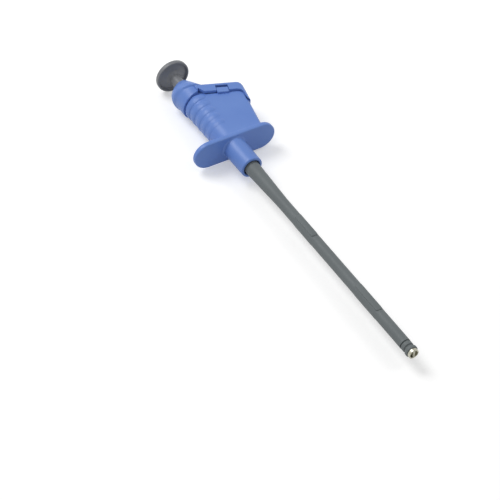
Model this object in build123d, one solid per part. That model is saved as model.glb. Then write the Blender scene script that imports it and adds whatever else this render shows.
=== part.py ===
from build123d import *
import os
from math import acos, atan2, cos, hypot, pi, radians, sin, tan

# Plunger test probe clip with a flexible shaft and a 4 mm plug socket in its handle.
# All lengths are millimetres. While a piece is drawn, X runs along the clip's axis from the
# thumb disc (station 0) to the jaws, Y points to the socket side of the handle and Z to its
# upper broad side. At the end everything is shifted so that the origin is the bottom centre.

# Thumb button
DISC_RADIUS = 6.85
DISC_THICKNESS = 2.0
DISC_EDGE_ROUND = 0.6
DISC_RIM_WIDTH = 0.75
DISC_DISH_DEPTH = 0.7
THUMB_DISH_DEPTH = 0.5
STEM_RADIUS = 2.3
STEM_FLARE_RADIUS = 3.3
STEM_FLARE_LENGTH = 1.6
STOP_FLANGE_RADIUS = 3.3
STOP_FLANGE_THICKNESS = 1.4
STEM_TAIL_LENGTH = 4.0
STEM_TAIL_RADIUS = 1.9
PLUNGER_TRAVEL = 6.0
PRESS_MARGIN = 0.4

# Outer form of the handle
HANDLE_LENGTH = 39.9
BARREL_TOP_RADIUS = 5.6
BARREL_BOTTOM_RADIUS = 5.5
WEDGE_TOP_REACH = 20.7
WEDGE_BOTTOM_REACH = 12.8
WEDGE_HALF_THICKNESS = 5.0
WEDGE_EDGE_ROUND = 1.5
WEDGE_INNER_ROUND = 0.4
HANDLE_WALL = 1.2

# Finger guard and nozzle
GUARD_HALF_LENGTH = 17.3
GUARD_HALF_WIDTH = 5.75
GUARD_OFFSET = 0.6
GUARD_THICKNESS = 2.2
GUARD_STRAIGHT_HALF = 11.0
GUARD_EDGE_ROUND = 0.6
GUARD_FLARE_SINK = 0.05
GUARD_FLARE_MIDDLE = 0.1
GUARD_FLARE = 0.5
GUARD_FLARE_LENGTH = 3.0
GUARD_FLARE_LAP = 0.7
NOZZLE_LENGTH = 13.1
NOZZLE_ROOT_RADIUS = 4.55
NOZZLE_MOUTH_RADIUS = 4.4
NOZZLE_LIP_ROUND = 0.5
NOZZLE_BORE_RADIUS = 3.4
NOZZLE_ROOT_FLARE = 0.8

# Grip rings round the barrel
GRIP_RING_COUNT = 5
GRIP_RING_PITCH = 3.9
GRIP_RING_FIRST = 2.6
GRIP_RING_WIDTH = 2.4
GRIP_RING_HEIGHT = 0.28
GRIP_RING_SINK = 0.15

# Cover cap: dome, collar and slanted lid in one moulding
NECK_RADIUS = 3.0
NECK_LENGTH = 5.0
DOME_LENGTH = 10.6
DOME_LEDGE = 0.08
DOME_STATIONS = (0.11, 0.27, 0.54, 0.77)
DOME_ROUND_SIDE = (4.8, 6.25, 6.7, 6.74)
DOME_LID_SIDE = (3.3, 3.9, 4.95, 5.9)
COVER_DEPTH = 11.8
COVER_PROUD = 0.8
COLLAR_SWELL = 0.45
SPIGOT_STEP = 0.6
LID_SLANT = 17.0
LID_CROSSING = 7.9
LID_WALL = 1.2
LID_CORNER_ROUND = 2.3
LID_EDGE_TRIM = 0.03
SKIRT_DEPTH = 4.5
RIM_SLANT = 8.0
SKIRT_TAIL_LENGTH = 15.6
SKIRT_TAIL_WIDTH = 1.3
SKIRT_CORNER_ROUND = 2.4
NOTCH_HEIGHT = 1.6
NOTCH_HALF_WIDTH = 0.9
NOTCH_OFFSET = 1.2
COVER_GAP = 0.1
SEAM_GAP_ALONG = 0.35
SEAM_GAP_ACROSS = 0.25

# Snap windows in the skirt and the tongues that catch in them
SNAP_OFFSET = 11.0
SNAP_WIDTH = 4.6
SNAP_SIDE_GAP = 0.15
SNAP_WINDOW_TOP = 1.55
SNAP_TONGUE_TOP = 2.65
SNAP_TONGUE_SINK = 0.12
SNAP_REACH = 5.5

# Barrel interior
BARREL_BORE_RADIUS = 4.1
BARREL_FLOOR_SETBACK = 7.2
STEM_CLEARANCE = 0.1
STOP_CLEARANCE = 0.3
SLIDE_CLEARANCE = 0.1
SEAT_THICKNESS = 0.7
SPRING_MEAN_RADIUS = 2.85
SPRING_WIRE_RADIUS = 0.28
SPRING_TURNS = 8

# Plug socket
PLUG_BORE_RADIUS = 2.05
SOCKET_WALL = 0.55
SOCKET_END_THICKNESS = 0.8
SOCKET_TAIL_LENGTH = 1.24
SOCKET_EDGE_GAP = 1.4
SOCKET_PARTITION_GAP = 0.3
SOCKET_RECESS = 0.35
SOCKET_TAIL_RADIUS = 0.9
SOCKET_BOSS_WALL = 0.45
SOCKET_BOSS_LENGTH = 3.0
SOCKET_GAP = 0.05

# Contact parts
STRIP_THICKNESS = 0.5
STRIP_WIDTH = 3.0
STRIP_RING_RADIUS = 3.7
STRIP_PAD_RADIUS = 1.9
CONTACT_FLANGE_THICKNESS = 0.6
CONTACT_FLANGE_RADIUS = 3.5
CONTACT_OUTER_RADIUS = 2.5
CONTACT_BORE_RADIUS = 1.9
CONTACT_FIT = 0.05
WIPER_LENGTH = 3.0
WIPER_THICKNESS = 0.25
WIPER_SLIT = 0.5

# Rod, crimp and pull wire
ROD_RADIUS = 0.9
ROD_GRIP_LENGTH = 9.0
WIRE_RADIUS = 0.5
CRIMP_RADIUS = 1.4
CRIMP_LENGTH = 5.0
CRIMP_LAP = 2.2

# Flexible shaft
SHAFT_EXPOSED = 101.8
SHAFT_ROOT_RADIUS = 2.95
SHAFT_RADIUS = 2.2
SHAFT_TAPER_LENGTH = 21.6
SHAFT_INSERT_LENGTH = 10.6
LINER_OUTER_RADIUS = 1.2
LINER_BORE_RADIUS = 0.75
LINER_FIT = 0.03
FERRULE_LENGTH = 6.0
PAD_LENGTHS = (12.0, 14.0)
PAD_STATIONS = (31.6, 71.6)
PAD_HALF_WIDTH = 1.25
PAD_PROUD = 0.22
PAD_END_ROUND = 0.6

# Tip sleeve and guide bush
TIP_LENGTH = 4.3
TIP_RING_RADIUS = 2.05
TIP_END_RADIUS = 2.36
TIP_GROOVE_DEPTH = 0.35
TIP_GROOVE_WIDTH = 0.5
TIP_FIRST_RING = 2.2
BUSH_OUTER_RADIUS = 1.65
BUSH_BORE_RADIUS = 1.4
BUSH_LENGTH = 13.6
BUSH_SETBACK = 0.15

# Jaws and their carrier
JAW_HINGE_SETBACK = 8.0
JAW_HEAD_RADIUS = 1.95
JAW_HEAD_LENGTH = 1.0
JAW_HEAD_GAP = 0.1
JAW_FACE_GAP = 0.05
JAW_SHELL = 0.42
JAW_FACE_WALL = 0.3
JAW_POCKET_DEPTH = 0.75
JAW_ARM_THICKNESS = 0.45
JAW_ARM_HALF_WIDTH = 0.5
JAW_EYE_RADIUS = 0.6
JAW_TOOTH_COUNT = 2
JAW_TOOTH_DEPTH = 0.12
JAW_PIN_RADIUS = 0.3
JAW_PIN_FIT = 0.04
CARRIER_LENGTH = 5.0
CARRIER_NOSE = 0.8
CARRIER_GRIP_DEPTH = 2.5
FORK_SIDE_GAP = 0.05

# Stations along the axis that follow from the sizes above
DISC_BACK = DISC_THICKNESS
COVER_TOP = DISC_BACK + PLUNGER_TRAVEL + PRESS_MARGIN
GUARD_FACE = COVER_TOP + HANDLE_LENGTH
GUARD_BACK = GUARD_FACE - GUARD_THICKNESS
NOZZLE_END = GUARD_FACE + NOZZLE_LENGTH
LID_STATION = COVER_TOP + LID_CROSSING
NECK_END = COVER_TOP + NECK_LENGTH
RIM_STATION = COVER_TOP + COVER_DEPTH
STOP_BACK = NECK_END + STOP_FLANGE_THICKNESS
STEM_END = STOP_BACK + STEM_TAIL_LENGTH
BARREL_FLOOR_STATION = GUARD_FACE - BARREL_FLOOR_SETBACK
STRIP_BACK = BARREL_FLOOR_STATION - STRIP_THICKNESS
CONTACT_BACK = STRIP_BACK - CONTACT_FLANGE_THICKNESS
SEAT_BACK = CONTACT_BACK - SEAT_THICKNESS
SHAFT_BACK = NOZZLE_END - SHAFT_INSERT_LENGTH
TIP_BACK = NOZZLE_END + SHAFT_EXPOSED
TIP_FACE = TIP_BACK + TIP_LENGTH
HINGE_STATION = TIP_FACE - JAW_HINGE_SETBACK
CARRIER_FRONT = HINGE_STATION + CARRIER_NOSE
CARRIER_BACK = CARRIER_FRONT - CARRIER_LENGTH
BUSH_FRONT = TIP_FACE - BUSH_SETBACK
BUSH_BACK = BUSH_FRONT - BUSH_LENGTH
LINER_BACK = SHAFT_BACK - FERRULE_LENGTH / 2
ROD_BACK = STEM_END - ROD_GRIP_LENGTH
CRIMP_FRONT = LINER_BACK - PLUNGER_TRAVEL - PRESS_MARGIN
CRIMP_BACK = CRIMP_FRONT - CRIMP_LENGTH
ROD_FRONT = CRIMP_BACK + CRIMP_LAP
SOCKET_OUTER_RADIUS = PLUG_BORE_RADIUS + SOCKET_WALL
JAW_FRONT = TIP_FACE + JAW_HEAD_GAP + JAW_HEAD_LENGTH
FAR = 60.0


def line_face(*points):
    """Flat face in the XY plane inside a closed run of straight lines."""
    return make_face(Polyline(*points, close=True))


def turned(*points):
    """Solid of revolution about the clip's axis; each point is (station, radius)."""
    return revolve(line_face(*points), Axis.X)


def rod(back, front, radius):
    """Plain round bar on the clip's axis."""
    return turned((back, 0), (front, 0), (front, radius), (back, radius))


def tube(back, front, outer, bore):
    """Plain tube on the clip's axis."""
    return turned((back, bore), (front, bore), (front, outer), (back, outer))


def cross_plane(station):
    """Plane square to the axis; its x is the clip's Y and its y is the clip's Z."""
    return Plane(origin=(station, 0, 0), x_dir=(0, 1, 0), z_dir=(1, 0, 0))


def along(top, bottom, station):
    """Value that changes evenly down the handle from its top to the finger guard."""
    share = (station - COVER_TOP) / HANDLE_LENGTH
    return top + (bottom - top) * share


def barrel_radius(station):
    """Outer radius of the round side of the handle."""
    return along(BARREL_TOP_RADIUS, BARREL_BOTTOM_RADIUS, station)


def wedge_reach(station):
    """Distance from the axis to the outer edge of the wedge."""
    return along(WEDGE_TOP_REACH, WEDGE_BOTTOM_REACH, station)


def mirrored(point):
    """Point of a cross section moved to the other broad side."""
    return (point[0], -point[1])


def handle_section(station, grow, swell=0.0):
    """Section of the handle: the barrel's circle and the wedge's rounded edge, joined by tangents."""
    barrel = barrel_radius(station) + grow + swell
    corner = max(WEDGE_EDGE_ROUND + grow, WEDGE_INNER_ROUND)
    corner_y = wedge_reach(station) + grow - corner
    corner_z = WEDGE_HALF_THICKNESS + grow - corner
    spacing = hypot(corner_y, corner_z)
    lean = atan2(corner_z, corner_y) + acos((barrel - corner) / spacing)
    half_lean = lean / 2
    left = (barrel * cos(lean), barrel * sin(lean))
    right = (corner_y + corner * cos(lean), corner_z + corner * sin(lean))
    bend = (corner_y + corner * cos(half_lean), corner_z + corner * sin(half_lean))
    side = (corner_y + corner, corner_z)
    outline = [
        ThreePointArc(left, (-barrel, 0), mirrored(left)),
        Line(mirrored(left), mirrored(right)),
        ThreePointArc(mirrored(right), mirrored(bend), mirrored(side)),
        Line(mirrored(side), side),
        ThreePointArc(side, bend, right),
        Line(right, left),
    ]
    return cross_plane(station) * make_face(Curve() + outline)


def handle_form(back, front, grow, swell=0.0):
    """Solid length of the handle's form, grown all round, with its round side swelled a little more."""
    return loft([handle_section(back, grow, swell), handle_section(front, grow, swell)], ruled=True)


def lid_plane(depth=0.0):
    """Plane of the slanted lid face, sunk by a depth; x runs up the slant, z runs into the handle."""
    slant = radians(LID_SLANT)
    inward = Vector(cos(slant), -sin(slant), 0)
    origin = Vector(LID_STATION, 0, 0) + inward * depth
    return Plane(origin=origin, x_dir=(sin(slant), cos(slant), 0), z_dir=inward)


def below_lid(depth):
    """Everything deeper than the lid face by the given depth."""
    return extrude(lid_plane(depth) * Rectangle(2 * FAR, 2 * FAR), 2 * FAR)


def lid_edge(station):
    """Distance from the axis to the outer edge of the lid."""
    return wedge_reach(station) + COVER_PROUD


def slant_line(depth, offset):
    """Station, at a distance from the axis, of the line that lies the given depth below the lid face."""
    slant = radians(LID_SLANT)
    return LID_STATION + depth / cos(slant) + offset * tan(slant)


def meet_edge(depth, inset):
    """Point where the slanted line at a depth meets the lid's outer edge, moved in by the inset."""
    edge_slope = (WEDGE_BOTTOM_REACH - WEDGE_TOP_REACH) / HANDLE_LENGTH
    start = lid_edge(slant_line(depth, 0)) - inset
    offset = start / (1 - edge_slope * tan(radians(LID_SLANT)))
    return (slant_line(depth, offset), offset)


def rounded_prism(points, corner, radius):
    """Straight-sided block across the handle, with one corner of its outline rounded."""
    face = line_face(*points)
    vertex = face.vertices().sort_by_distance(Vector(corner[0], corner[1], 0))[0]
    return extrude(fillet(vertex, radius), FAR, both=True)


def cover_zone(notched, along_shift=0.0, across_shift=0.0):
    """Block that holds all of the cover: its lower edge is the seam, seen square to the broad side."""
    rim_rise = tan(radians(RIM_SLANT))
    bend = meet_edge(SKIRT_DEPTH, SKIRT_TAIL_WIDTH)
    tail_station = LID_STATION + SKIRT_TAIL_LENGTH
    notch_left = NOTCH_OFFSET - NOTCH_HALF_WIDTH
    notch_right = NOTCH_OFFSET + NOTCH_HALF_WIDTH
    notch = [
        (RIM_STATION - notch_left * rim_rise, notch_left),
        (RIM_STATION - NOTCH_HEIGHT, NOTCH_OFFSET),
        (slant_line(SKIRT_DEPTH, notch_right), notch_right),
    ]
    valley = (RIM_STATION - slant_line(SKIRT_DEPTH, 0)) / (rim_rise + tan(radians(LID_SLANT)))
    plain = [(RIM_STATION - valley * rim_rise, valley)]
    points = [
        (-FAR, -FAR),
        (RIM_STATION + FAR * rim_rise, -FAR),
        *(notch if notched else plain),
        bend,
        (tail_station, lid_edge(tail_station) - SKIRT_TAIL_WIDTH),
        (tail_station, FAR),
        (-FAR, FAR),
    ]
    return Pos(along_shift, -across_shift, 0) * rounded_prism(points, bend, SKIRT_CORNER_ROUND)


def lid_outline():
    """Block that rounds the lid's outer corner, seen square to the broad side."""
    corner = meet_edge(0, LID_EDGE_TRIM)
    low = LID_STATION + FAR
    points = [
        (slant_line(0, -FAR), -FAR),
        corner,
        (low, lid_edge(low) - LID_EDGE_TRIM),
        (low + FAR, -FAR),
    ]
    return rounded_prism(points, corner, LID_CORNER_ROUND)


def snap_block(half_width, top, bottom):
    """Block across the handle at the snap windows, between two depths below the lid face."""
    plane = lid_plane(top)
    profile = Pos(SNAP_OFFSET, 0) * Rectangle(2 * half_width, 2 * FAR)
    return extrude(plane * profile, bottom - top)


def dome():
    """Oblique dome: full on the round side, drawn in on the lid side, up to the neck."""
    full = barrel_radius(COVER_TOP + DOME_LENGTH) + COVER_PROUD + COLLAR_SWELL - DOME_LEDGE
    stations = (0, *DOME_STATIONS, 1)
    round_side = (NECK_RADIUS, *DOME_ROUND_SIDE, full)
    lid_side = (NECK_RADIUS, *DOME_LID_SIDE, full)
    rings = []
    for share, low, high in zip(stations, round_side, lid_side):
        centre = (high - low) / 2
        ring = cross_plane(COVER_TOP + share * DOME_LENGTH) * Pos(centre, 0) * Circle((high + low) / 2)
        rings.append(ring)
    return loft(rings)


def socket_mouth():
    """Point where the socket's centre line crosses the lid face, a gap away from the wedge's outer wall."""
    inset = COVER_PROUD + SPIGOT_STEP + HANDLE_WALL + SOCKET_EDGE_GAP + SOCKET_OUTER_RADIUS
    return meet_edge(0, inset)


def socket_foot():
    """Point where the socket's centre line meets the barrel's floor, a gap away from the partition."""
    offset = BARREL_BORE_RADIUS + HANDLE_WALL + SOCKET_PARTITION_GAP + SOCKET_OUTER_RADIUS
    return (BARREL_FLOOR_STATION, offset)


def socket_plane(depth=0.0):
    """Plane square to the plug socket, whose z runs into the handle from the socket's mouth."""
    mouth = Vector(*socket_mouth(), 0)
    inward = (Vector(*socket_foot(), 0) - mouth).normalized()
    return Plane(origin=mouth + inward * depth, x_dir=(0, 0, 1), z_dir=inward)


def socket_bottom():
    """Depth of the socket's closed end below the lid face, which leaves room for the tail."""
    mouth = Vector(*socket_mouth(), 0)
    return (Vector(*socket_foot(), 0) - mouth).length - SOCKET_TAIL_LENGTH


def socket_bar(back, front, radius):
    """Round bar on the socket's axis between two depths from the lid face."""
    return extrude(socket_plane(back) * Circle(radius), front - back)


def thumb_button():
    """Dished thumb disc, its stem and the stop flange that keeps it in the cover."""
    rim_inner = DISC_RADIUS - DISC_RIM_WIDTH
    dish = DISC_BACK - DISC_DISH_DEPTH
    edge = DISC_EDGE_ROUND
    flare_end = DISC_BACK + STEM_FLARE_LENGTH
    outline = Curve() + [
        ThreePointArc((THUMB_DISH_DEPTH, 0), (THUMB_DISH_DEPTH * 3 / 4, rim_inner / 2), (0, rim_inner)),
        Line((0, rim_inner), (0, DISC_RADIUS - edge)),
        ThreePointArc(
            (0, DISC_RADIUS - edge),
            (edge * (1 - cos(pi / 4)), DISC_RADIUS - edge * (1 - sin(pi / 4))),
            (edge, DISC_RADIUS),
        ),
        Line((edge, DISC_RADIUS), (DISC_BACK - edge / 2, DISC_RADIUS)),
        Line((DISC_BACK - edge / 2, DISC_RADIUS), (DISC_BACK, DISC_RADIUS - edge / 2)),
        Line((DISC_BACK, DISC_RADIUS - edge / 2), (DISC_BACK, rim_inner)),
        Line((DISC_BACK, rim_inner), (dish, rim_inner - edge / 2)),
        Line((dish, rim_inner - edge / 2), (dish, STEM_FLARE_RADIUS)),
        ThreePointArc(
            (dish, STEM_FLARE_RADIUS),
            (
                flare_end - (flare_end - dish) * cos(pi / 4),
                STEM_FLARE_RADIUS - (STEM_FLARE_RADIUS - STEM_RADIUS) * sin(pi / 4),
            ),
            (flare_end, STEM_RADIUS),
        ),
        Line((flare_end, STEM_RADIUS), (NECK_END, STEM_RADIUS)),
        Line((NECK_END, STEM_RADIUS), (NECK_END, STOP_FLANGE_RADIUS)),
        Line((NECK_END, STOP_FLANGE_RADIUS), (STOP_BACK, STOP_FLANGE_RADIUS)),
        Line((STOP_BACK, STOP_FLANGE_RADIUS), (STOP_BACK, STEM_TAIL_RADIUS)),
        Line((STOP_BACK, STEM_TAIL_RADIUS), (STEM_END, STEM_TAIL_RADIUS)),
        Line((STEM_END, STEM_TAIL_RADIUS), (STEM_END, ROD_RADIUS)),
        Line((STEM_END, ROD_RADIUS), (ROD_BACK, ROD_RADIUS)),
        Line((ROD_BACK, ROD_RADIUS), (ROD_BACK, 0)),
        Line((ROD_BACK, 0), (THUMB_DISH_DEPTH, 0)),
    ]
    return revolve(make_face(outline), Axis.X)


def cover_cap():
    """One moulding: dome with the stem's neck, collar round the barrel and slanted lid with its skirt."""
    shell = handle_form(COVER_TOP, GUARD_BACK, COVER_PROUD, COLLAR_SWELL)
    shell = shell & cover_zone(True) & lid_outline()
    shell = shell + dome()
    inside = inside_of_cover()
    shell = shell - inside
    stop_pocket = STOP_FLANGE_RADIUS + STOP_CLEARANCE
    shell = shell - rod(NECK_END, GUARD_BACK, stop_pocket)
    shell = shell - rod(0, GUARD_BACK, STEM_RADIUS + STEM_CLEARANCE)
    boss_bore = SOCKET_OUTER_RADIUS + SOCKET_GAP
    boss = socket_bar(SOCKET_RECESS, LID_WALL + SOCKET_BOSS_LENGTH, boss_bore + SOCKET_BOSS_WALL)
    shell = shell + (boss & below_lid(LID_WALL / 2))
    shell = shell - socket_bar(-FAR, FAR, boss_bore)
    return shell - snap_block(SNAP_WIDTH / 2 + SNAP_SIDE_GAP, SNAP_WINDOW_TOP, SNAP_REACH)


def inside_of_cover():
    """Space under the lid and the collar, which the housing's spigot fills."""
    return handle_form(COVER_TOP, GUARD_FACE, COVER_GAP - SPIGOT_STEP) & below_lid(LID_WALL)


def guard_face():
    """Outline of the finger guard: straight long edges and elliptical ends."""
    end = GUARD_STRAIGHT_HALF
    width = GUARD_HALF_WIDTH
    reach = GUARD_HALF_LENGTH - end
    outline = Curve() + [
        Line((-end, width), (end, width)),
        EllipticalCenterArc((end, 0), reach, width, start_angle=-90, arc_size=180),
        Line((end, -width), (-end, -width)),
        EllipticalCenterArc((-end, 0), reach, width, start_angle=90, arc_size=180),
    ]
    return make_face(outline)


def finger_guard():
    """Flat finger guard with rounded edges."""
    guard = extrude(cross_plane(GUARD_BACK) * Pos(GUARD_OFFSET, 0) * guard_face(), GUARD_THICKNESS)
    return fillet(guard.edges(), GUARD_EDGE_ROUND)


def guard_flare():
    """Hollow curve by which the handle widens into the finger guard."""
    start = GUARD_BACK - GUARD_FLARE_LENGTH
    sections = [
        handle_section(start, -GUARD_FLARE_SINK),
        handle_section(start + GUARD_FLARE_LENGTH / 2, GUARD_FLARE_MIDDLE),
        handle_section(GUARD_BACK + GUARD_FLARE_LAP, GUARD_FLARE),
    ]
    return loft(sections)


def grip_rings():
    """Low rounded rings round the barrel below the collar."""
    rings = Part()
    for index in range(GRIP_RING_COUNT):
        middle = RIM_STATION + GRIP_RING_FIRST + index * GRIP_RING_PITCH
        back = middle - GRIP_RING_WIDTH / 2
        front = middle + GRIP_RING_WIDTH / 2
        core = barrel_radius(front) - GRIP_RING_SINK
        crest = barrel_radius(middle) + GRIP_RING_HEIGHT * (1 - index / (GRIP_RING_COUNT + 1))
        outline = Curve() + [
            ThreePointArc((back, core), (middle, crest), (front, core)),
            Line((front, core), (back, core)),
        ]
        rings += revolve(make_face(outline), Axis.X)
    return rings


def nozzle():
    """Slightly tapered nozzle with a rounded lip, flared where it leaves the guard."""
    lip = NOZZLE_LIP_ROUND
    root = NOZZLE_ROOT_RADIUS + NOZZLE_ROOT_FLARE
    flare_end = GUARD_FACE + NOZZLE_ROOT_FLARE
    outline = Curve() + [
        Line((GUARD_BACK, 0), (GUARD_BACK, root)),
        Line((GUARD_BACK, root), (GUARD_FACE, root)),
        ThreePointArc(
            (GUARD_FACE, root),
            (flare_end - NOZZLE_ROOT_FLARE * cos(pi / 4), root - NOZZLE_ROOT_FLARE * sin(pi / 4)),
            (flare_end, NOZZLE_ROOT_RADIUS),
        ),
        Line((flare_end, NOZZLE_ROOT_RADIUS), (NOZZLE_END - lip, NOZZLE_MOUTH_RADIUS)),
        ThreePointArc(
            (NOZZLE_END - lip, NOZZLE_MOUTH_RADIUS),
            (NOZZLE_END - lip * (1 - sin(pi / 4)), NOZZLE_MOUTH_RADIUS - lip * (1 - cos(pi / 4))),
            (NOZZLE_END, NOZZLE_MOUTH_RADIUS - lip),
        ),
        Line((NOZZLE_END, NOZZLE_MOUTH_RADIUS - lip), (NOZZLE_END, 0)),
        Line((NOZZLE_END, 0), (GUARD_BACK, 0)),
    ]
    return revolve(make_face(outline), Axis.X)


def wedge_cavity():
    """Room in the wedge for the plug socket, with a partition towards the barrel."""
    cavity = handle_form(COVER_TOP, BARREL_FLOOR_STATION, -SPIGOT_STEP - HANDLE_WALL)
    partition = BARREL_BORE_RADIUS + HANDLE_WALL
    room = Pos(FAR, partition + FAR, 0) * Box(4 * FAR, 2 * FAR, 2 * FAR)
    return cavity & room


def strip_slot():
    """Slot through the partition, from its top to the barrel's floor, that the contact strip slides down."""
    depth = BARREL_BORE_RADIUS + 2 * HANDLE_WALL
    slot = Box(2 * FAR, depth, STRIP_WIDTH + 2 * COVER_GAP)
    return Pos(BARREL_FLOOR_STATION - FAR, depth / 2, 0) * slot


def body_housing():
    """Housing moulding: ribbed barrel, hollow wedge, finger guard, nozzle and snap tongues."""
    outer = handle_form(COVER_TOP, GUARD_BACK + GUARD_FLARE_LAP, 0) + grip_rings()
    outer = outer - cover_zone(False, SEAM_GAP_ALONG, SEAM_GAP_ACROSS)
    spigot = handle_form(COVER_TOP, GUARD_BACK, -SPIGOT_STEP) & below_lid(LID_WALL + COVER_GAP)
    tongue = handle_form(COVER_TOP, GUARD_BACK, COVER_PROUD - SNAP_TONGUE_SINK, COLLAR_SWELL)
    tongue = tongue & snap_block(SNAP_WIDTH / 2, SNAP_TONGUE_TOP, SNAP_REACH)
    body = outer + spigot + tongue + guard_flare() + finger_guard() + nozzle()
    body = body - wedge_cavity()
    body = body - rod(0, BARREL_FLOOR_STATION, BARREL_BORE_RADIUS)
    body = body - strip_slot()
    body = body - rod(0, NOZZLE_END, CONTACT_OUTER_RADIUS + CONTACT_FIT)
    return body - rod(SHAFT_BACK, NOZZLE_END, NOZZLE_BORE_RADIUS)


def spring_seat():
    """Washer that carries the return spring at the bottom of the barrel."""
    return tube(SEAT_BACK, CONTACT_BACK, BARREL_BORE_RADIUS - SLIDE_CLEARANCE, CONTACT_BORE_RADIUS)


def return_spring():
    """Compression spring between the stop flange and its seat."""
    start = STOP_BACK + SPRING_WIRE_RADIUS
    height = SEAT_BACK - STOP_BACK - 2 * SPRING_WIRE_RADIUS
    path = Helix(height / SPRING_TURNS, height, SPRING_MEAN_RADIUS)
    profile = Plane(origin=path @ 0, z_dir=path % 0) * Circle(SPRING_WIRE_RADIUS)
    coil = sweep(profile, path=path, is_frenet=True)
    return Pos(start, 0, 0) * Rot(0, 90, 0) * coil


def plug_socket():
    """Brass sleeve for a 4 mm plug, closed at the bottom, with a tail for the contact strip."""
    bottom = socket_bottom()
    sleeve = socket_bar(SOCKET_RECESS, bottom, SOCKET_OUTER_RADIUS)
    sleeve = sleeve - socket_bar(0, bottom - SOCKET_END_THICKNESS, PLUG_BORE_RADIUS)
    tail = socket_bar(bottom - SOCKET_END_THICKNESS / 2, FAR, SOCKET_TAIL_RADIUS)
    below = Pos(BARREL_FLOOR_STATION - FAR, 0, 0) * Box(2 * FAR, 2 * FAR, 2 * FAR)
    return sleeve + (tail & below)


def contact_strip():
    """Flat strip from the contact sleeve to the tail of the plug socket."""
    pad = socket_foot()[1]
    shape = Circle(STRIP_RING_RADIUS) + Pos(pad, 0) * Circle(STRIP_PAD_RADIUS)
    shape += Pos(pad / 2, 0) * Rectangle(pad, STRIP_WIDTH)
    shape -= Circle(CONTACT_OUTER_RADIUS + CONTACT_FIT)
    strip = extrude(cross_plane(STRIP_BACK) * shape, STRIP_THICKNESS)
    hole = socket_bar(0, FAR, SOCKET_TAIL_RADIUS + CONTACT_FIT)
    return strip - hole


def contact_sleeve():
    """Flanged brass sleeve that joins the shaft's liner to the contact strip."""
    return turned(
        (CONTACT_BACK, CONTACT_BORE_RADIUS),
        (CONTACT_BACK, CONTACT_FLANGE_RADIUS),
        (STRIP_BACK, CONTACT_FLANGE_RADIUS),
        (STRIP_BACK, CONTACT_OUTER_RADIUS),
        (SHAFT_BACK, CONTACT_OUTER_RADIUS),
        (SHAFT_BACK, LINER_OUTER_RADIUS + LINER_FIT),
        (LINER_BACK, LINER_OUTER_RADIUS + LINER_FIT),
        (LINER_BACK, CONTACT_BORE_RADIUS),
    )


def wiper_ring():
    """Split spring ring in the contact sleeve that wipes on the rod's crimp."""
    front = CONTACT_BACK + WIPER_LENGTH
    outer = CONTACT_BORE_RADIUS - LINER_FIT
    ring = tube(CONTACT_BACK, front, outer, outer - WIPER_THICKNESS)
    slit = Pos(CONTACT_BACK + WIPER_LENGTH / 2, 0, -outer) * Box(2 * WIPER_LENGTH, WIPER_SLIT, 2 * outer)
    return ring - slit


def plunger_rod():
    """Steel rod pressed into the stem."""
    return rod(ROD_BACK, ROD_FRONT, ROD_RADIUS)


def wire_crimp():
    """Crimp tube that joins the rod to the pull wire."""
    return turned(
        (CRIMP_BACK, ROD_RADIUS),
        (ROD_FRONT, ROD_RADIUS),
        (ROD_FRONT, WIRE_RADIUS),
        (CRIMP_FRONT, WIRE_RADIUS),
        (CRIMP_FRONT, CRIMP_RADIUS),
        (CRIMP_BACK, CRIMP_RADIUS),
    )


def pull_wire():
    """Steel wire through the flexible shaft, from the rod to the jaw carrier."""
    return rod(ROD_FRONT, CARRIER_BACK + CARRIER_GRIP_DEPTH, WIRE_RADIUS)


def guide_liner():
    """Close-wound wire conduit inside the sheath, drawn as a plain tube."""
    return tube(LINER_BACK, BUSH_BACK, LINER_OUTER_RADIUS, LINER_BORE_RADIUS)


def shaft_pads():
    """Low bare pads on both broad sides of the shaft."""
    pads = Part()
    height = 2 * (SHAFT_RADIUS + PAD_PROUD)
    for station, length in zip(PAD_STATIONS, PAD_LENGTHS):
        shape = RectangleRounded(length, 2 * PAD_HALF_WIDTH, PAD_END_ROUND)
        middle = NOZZLE_END + station + length / 2
        pads += extrude(Pos(middle, 0, -height / 2) * shape, height)
    return pads


def shaft_sheath():
    """Flexible plastic sheath, thick at the nozzle, with a counterbore for the tip's bush."""
    inner = LINER_OUTER_RADIUS + LINER_FIT
    body = turned(
        (SHAFT_BACK, 0),
        (SHAFT_BACK, SHAFT_ROOT_RADIUS),
        (NOZZLE_END, SHAFT_ROOT_RADIUS),
        (NOZZLE_END + SHAFT_TAPER_LENGTH, SHAFT_RADIUS),
        (TIP_BACK, SHAFT_RADIUS),
        (TIP_BACK, 0),
    )
    body = body + shaft_pads()
    body = body - rod(SHAFT_BACK, TIP_BACK, inner)
    return body - rod(BUSH_BACK, TIP_BACK, BUSH_OUTER_RADIUS + LINER_FIT)


def shaft_ferrule():
    """Brass crimp ring that holds the sheath in the nozzle."""
    outer = NOZZLE_BORE_RADIUS - CONTACT_FIT
    return tube(SHAFT_BACK, SHAFT_BACK + FERRULE_LENGTH, outer, SHAFT_ROOT_RADIUS + LINER_FIT)


def tip_sleeve():
    """Grey tip with two grooves and a larger end ring."""
    inner = BUSH_OUTER_RADIUS + LINER_FIT
    groove = TIP_RING_RADIUS - TIP_GROOVE_DEPTH
    width = TIP_GROOVE_WIDTH
    second = TIP_BACK + TIP_FIRST_RING
    return turned(
        (TIP_BACK, inner),
        (TIP_BACK, groove),
        (TIP_BACK + width / 2, groove),
        (TIP_BACK + width, TIP_RING_RADIUS),
        (second - width / 2, TIP_RING_RADIUS),
        (second, groove),
        (second + width / 2, groove),
        (second + 2 * width, TIP_END_RADIUS),
        (TIP_FACE - width / 2, TIP_END_RADIUS),
        (TIP_FACE, TIP_END_RADIUS - width / 2),
        (TIP_FACE, inner),
    )


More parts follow.
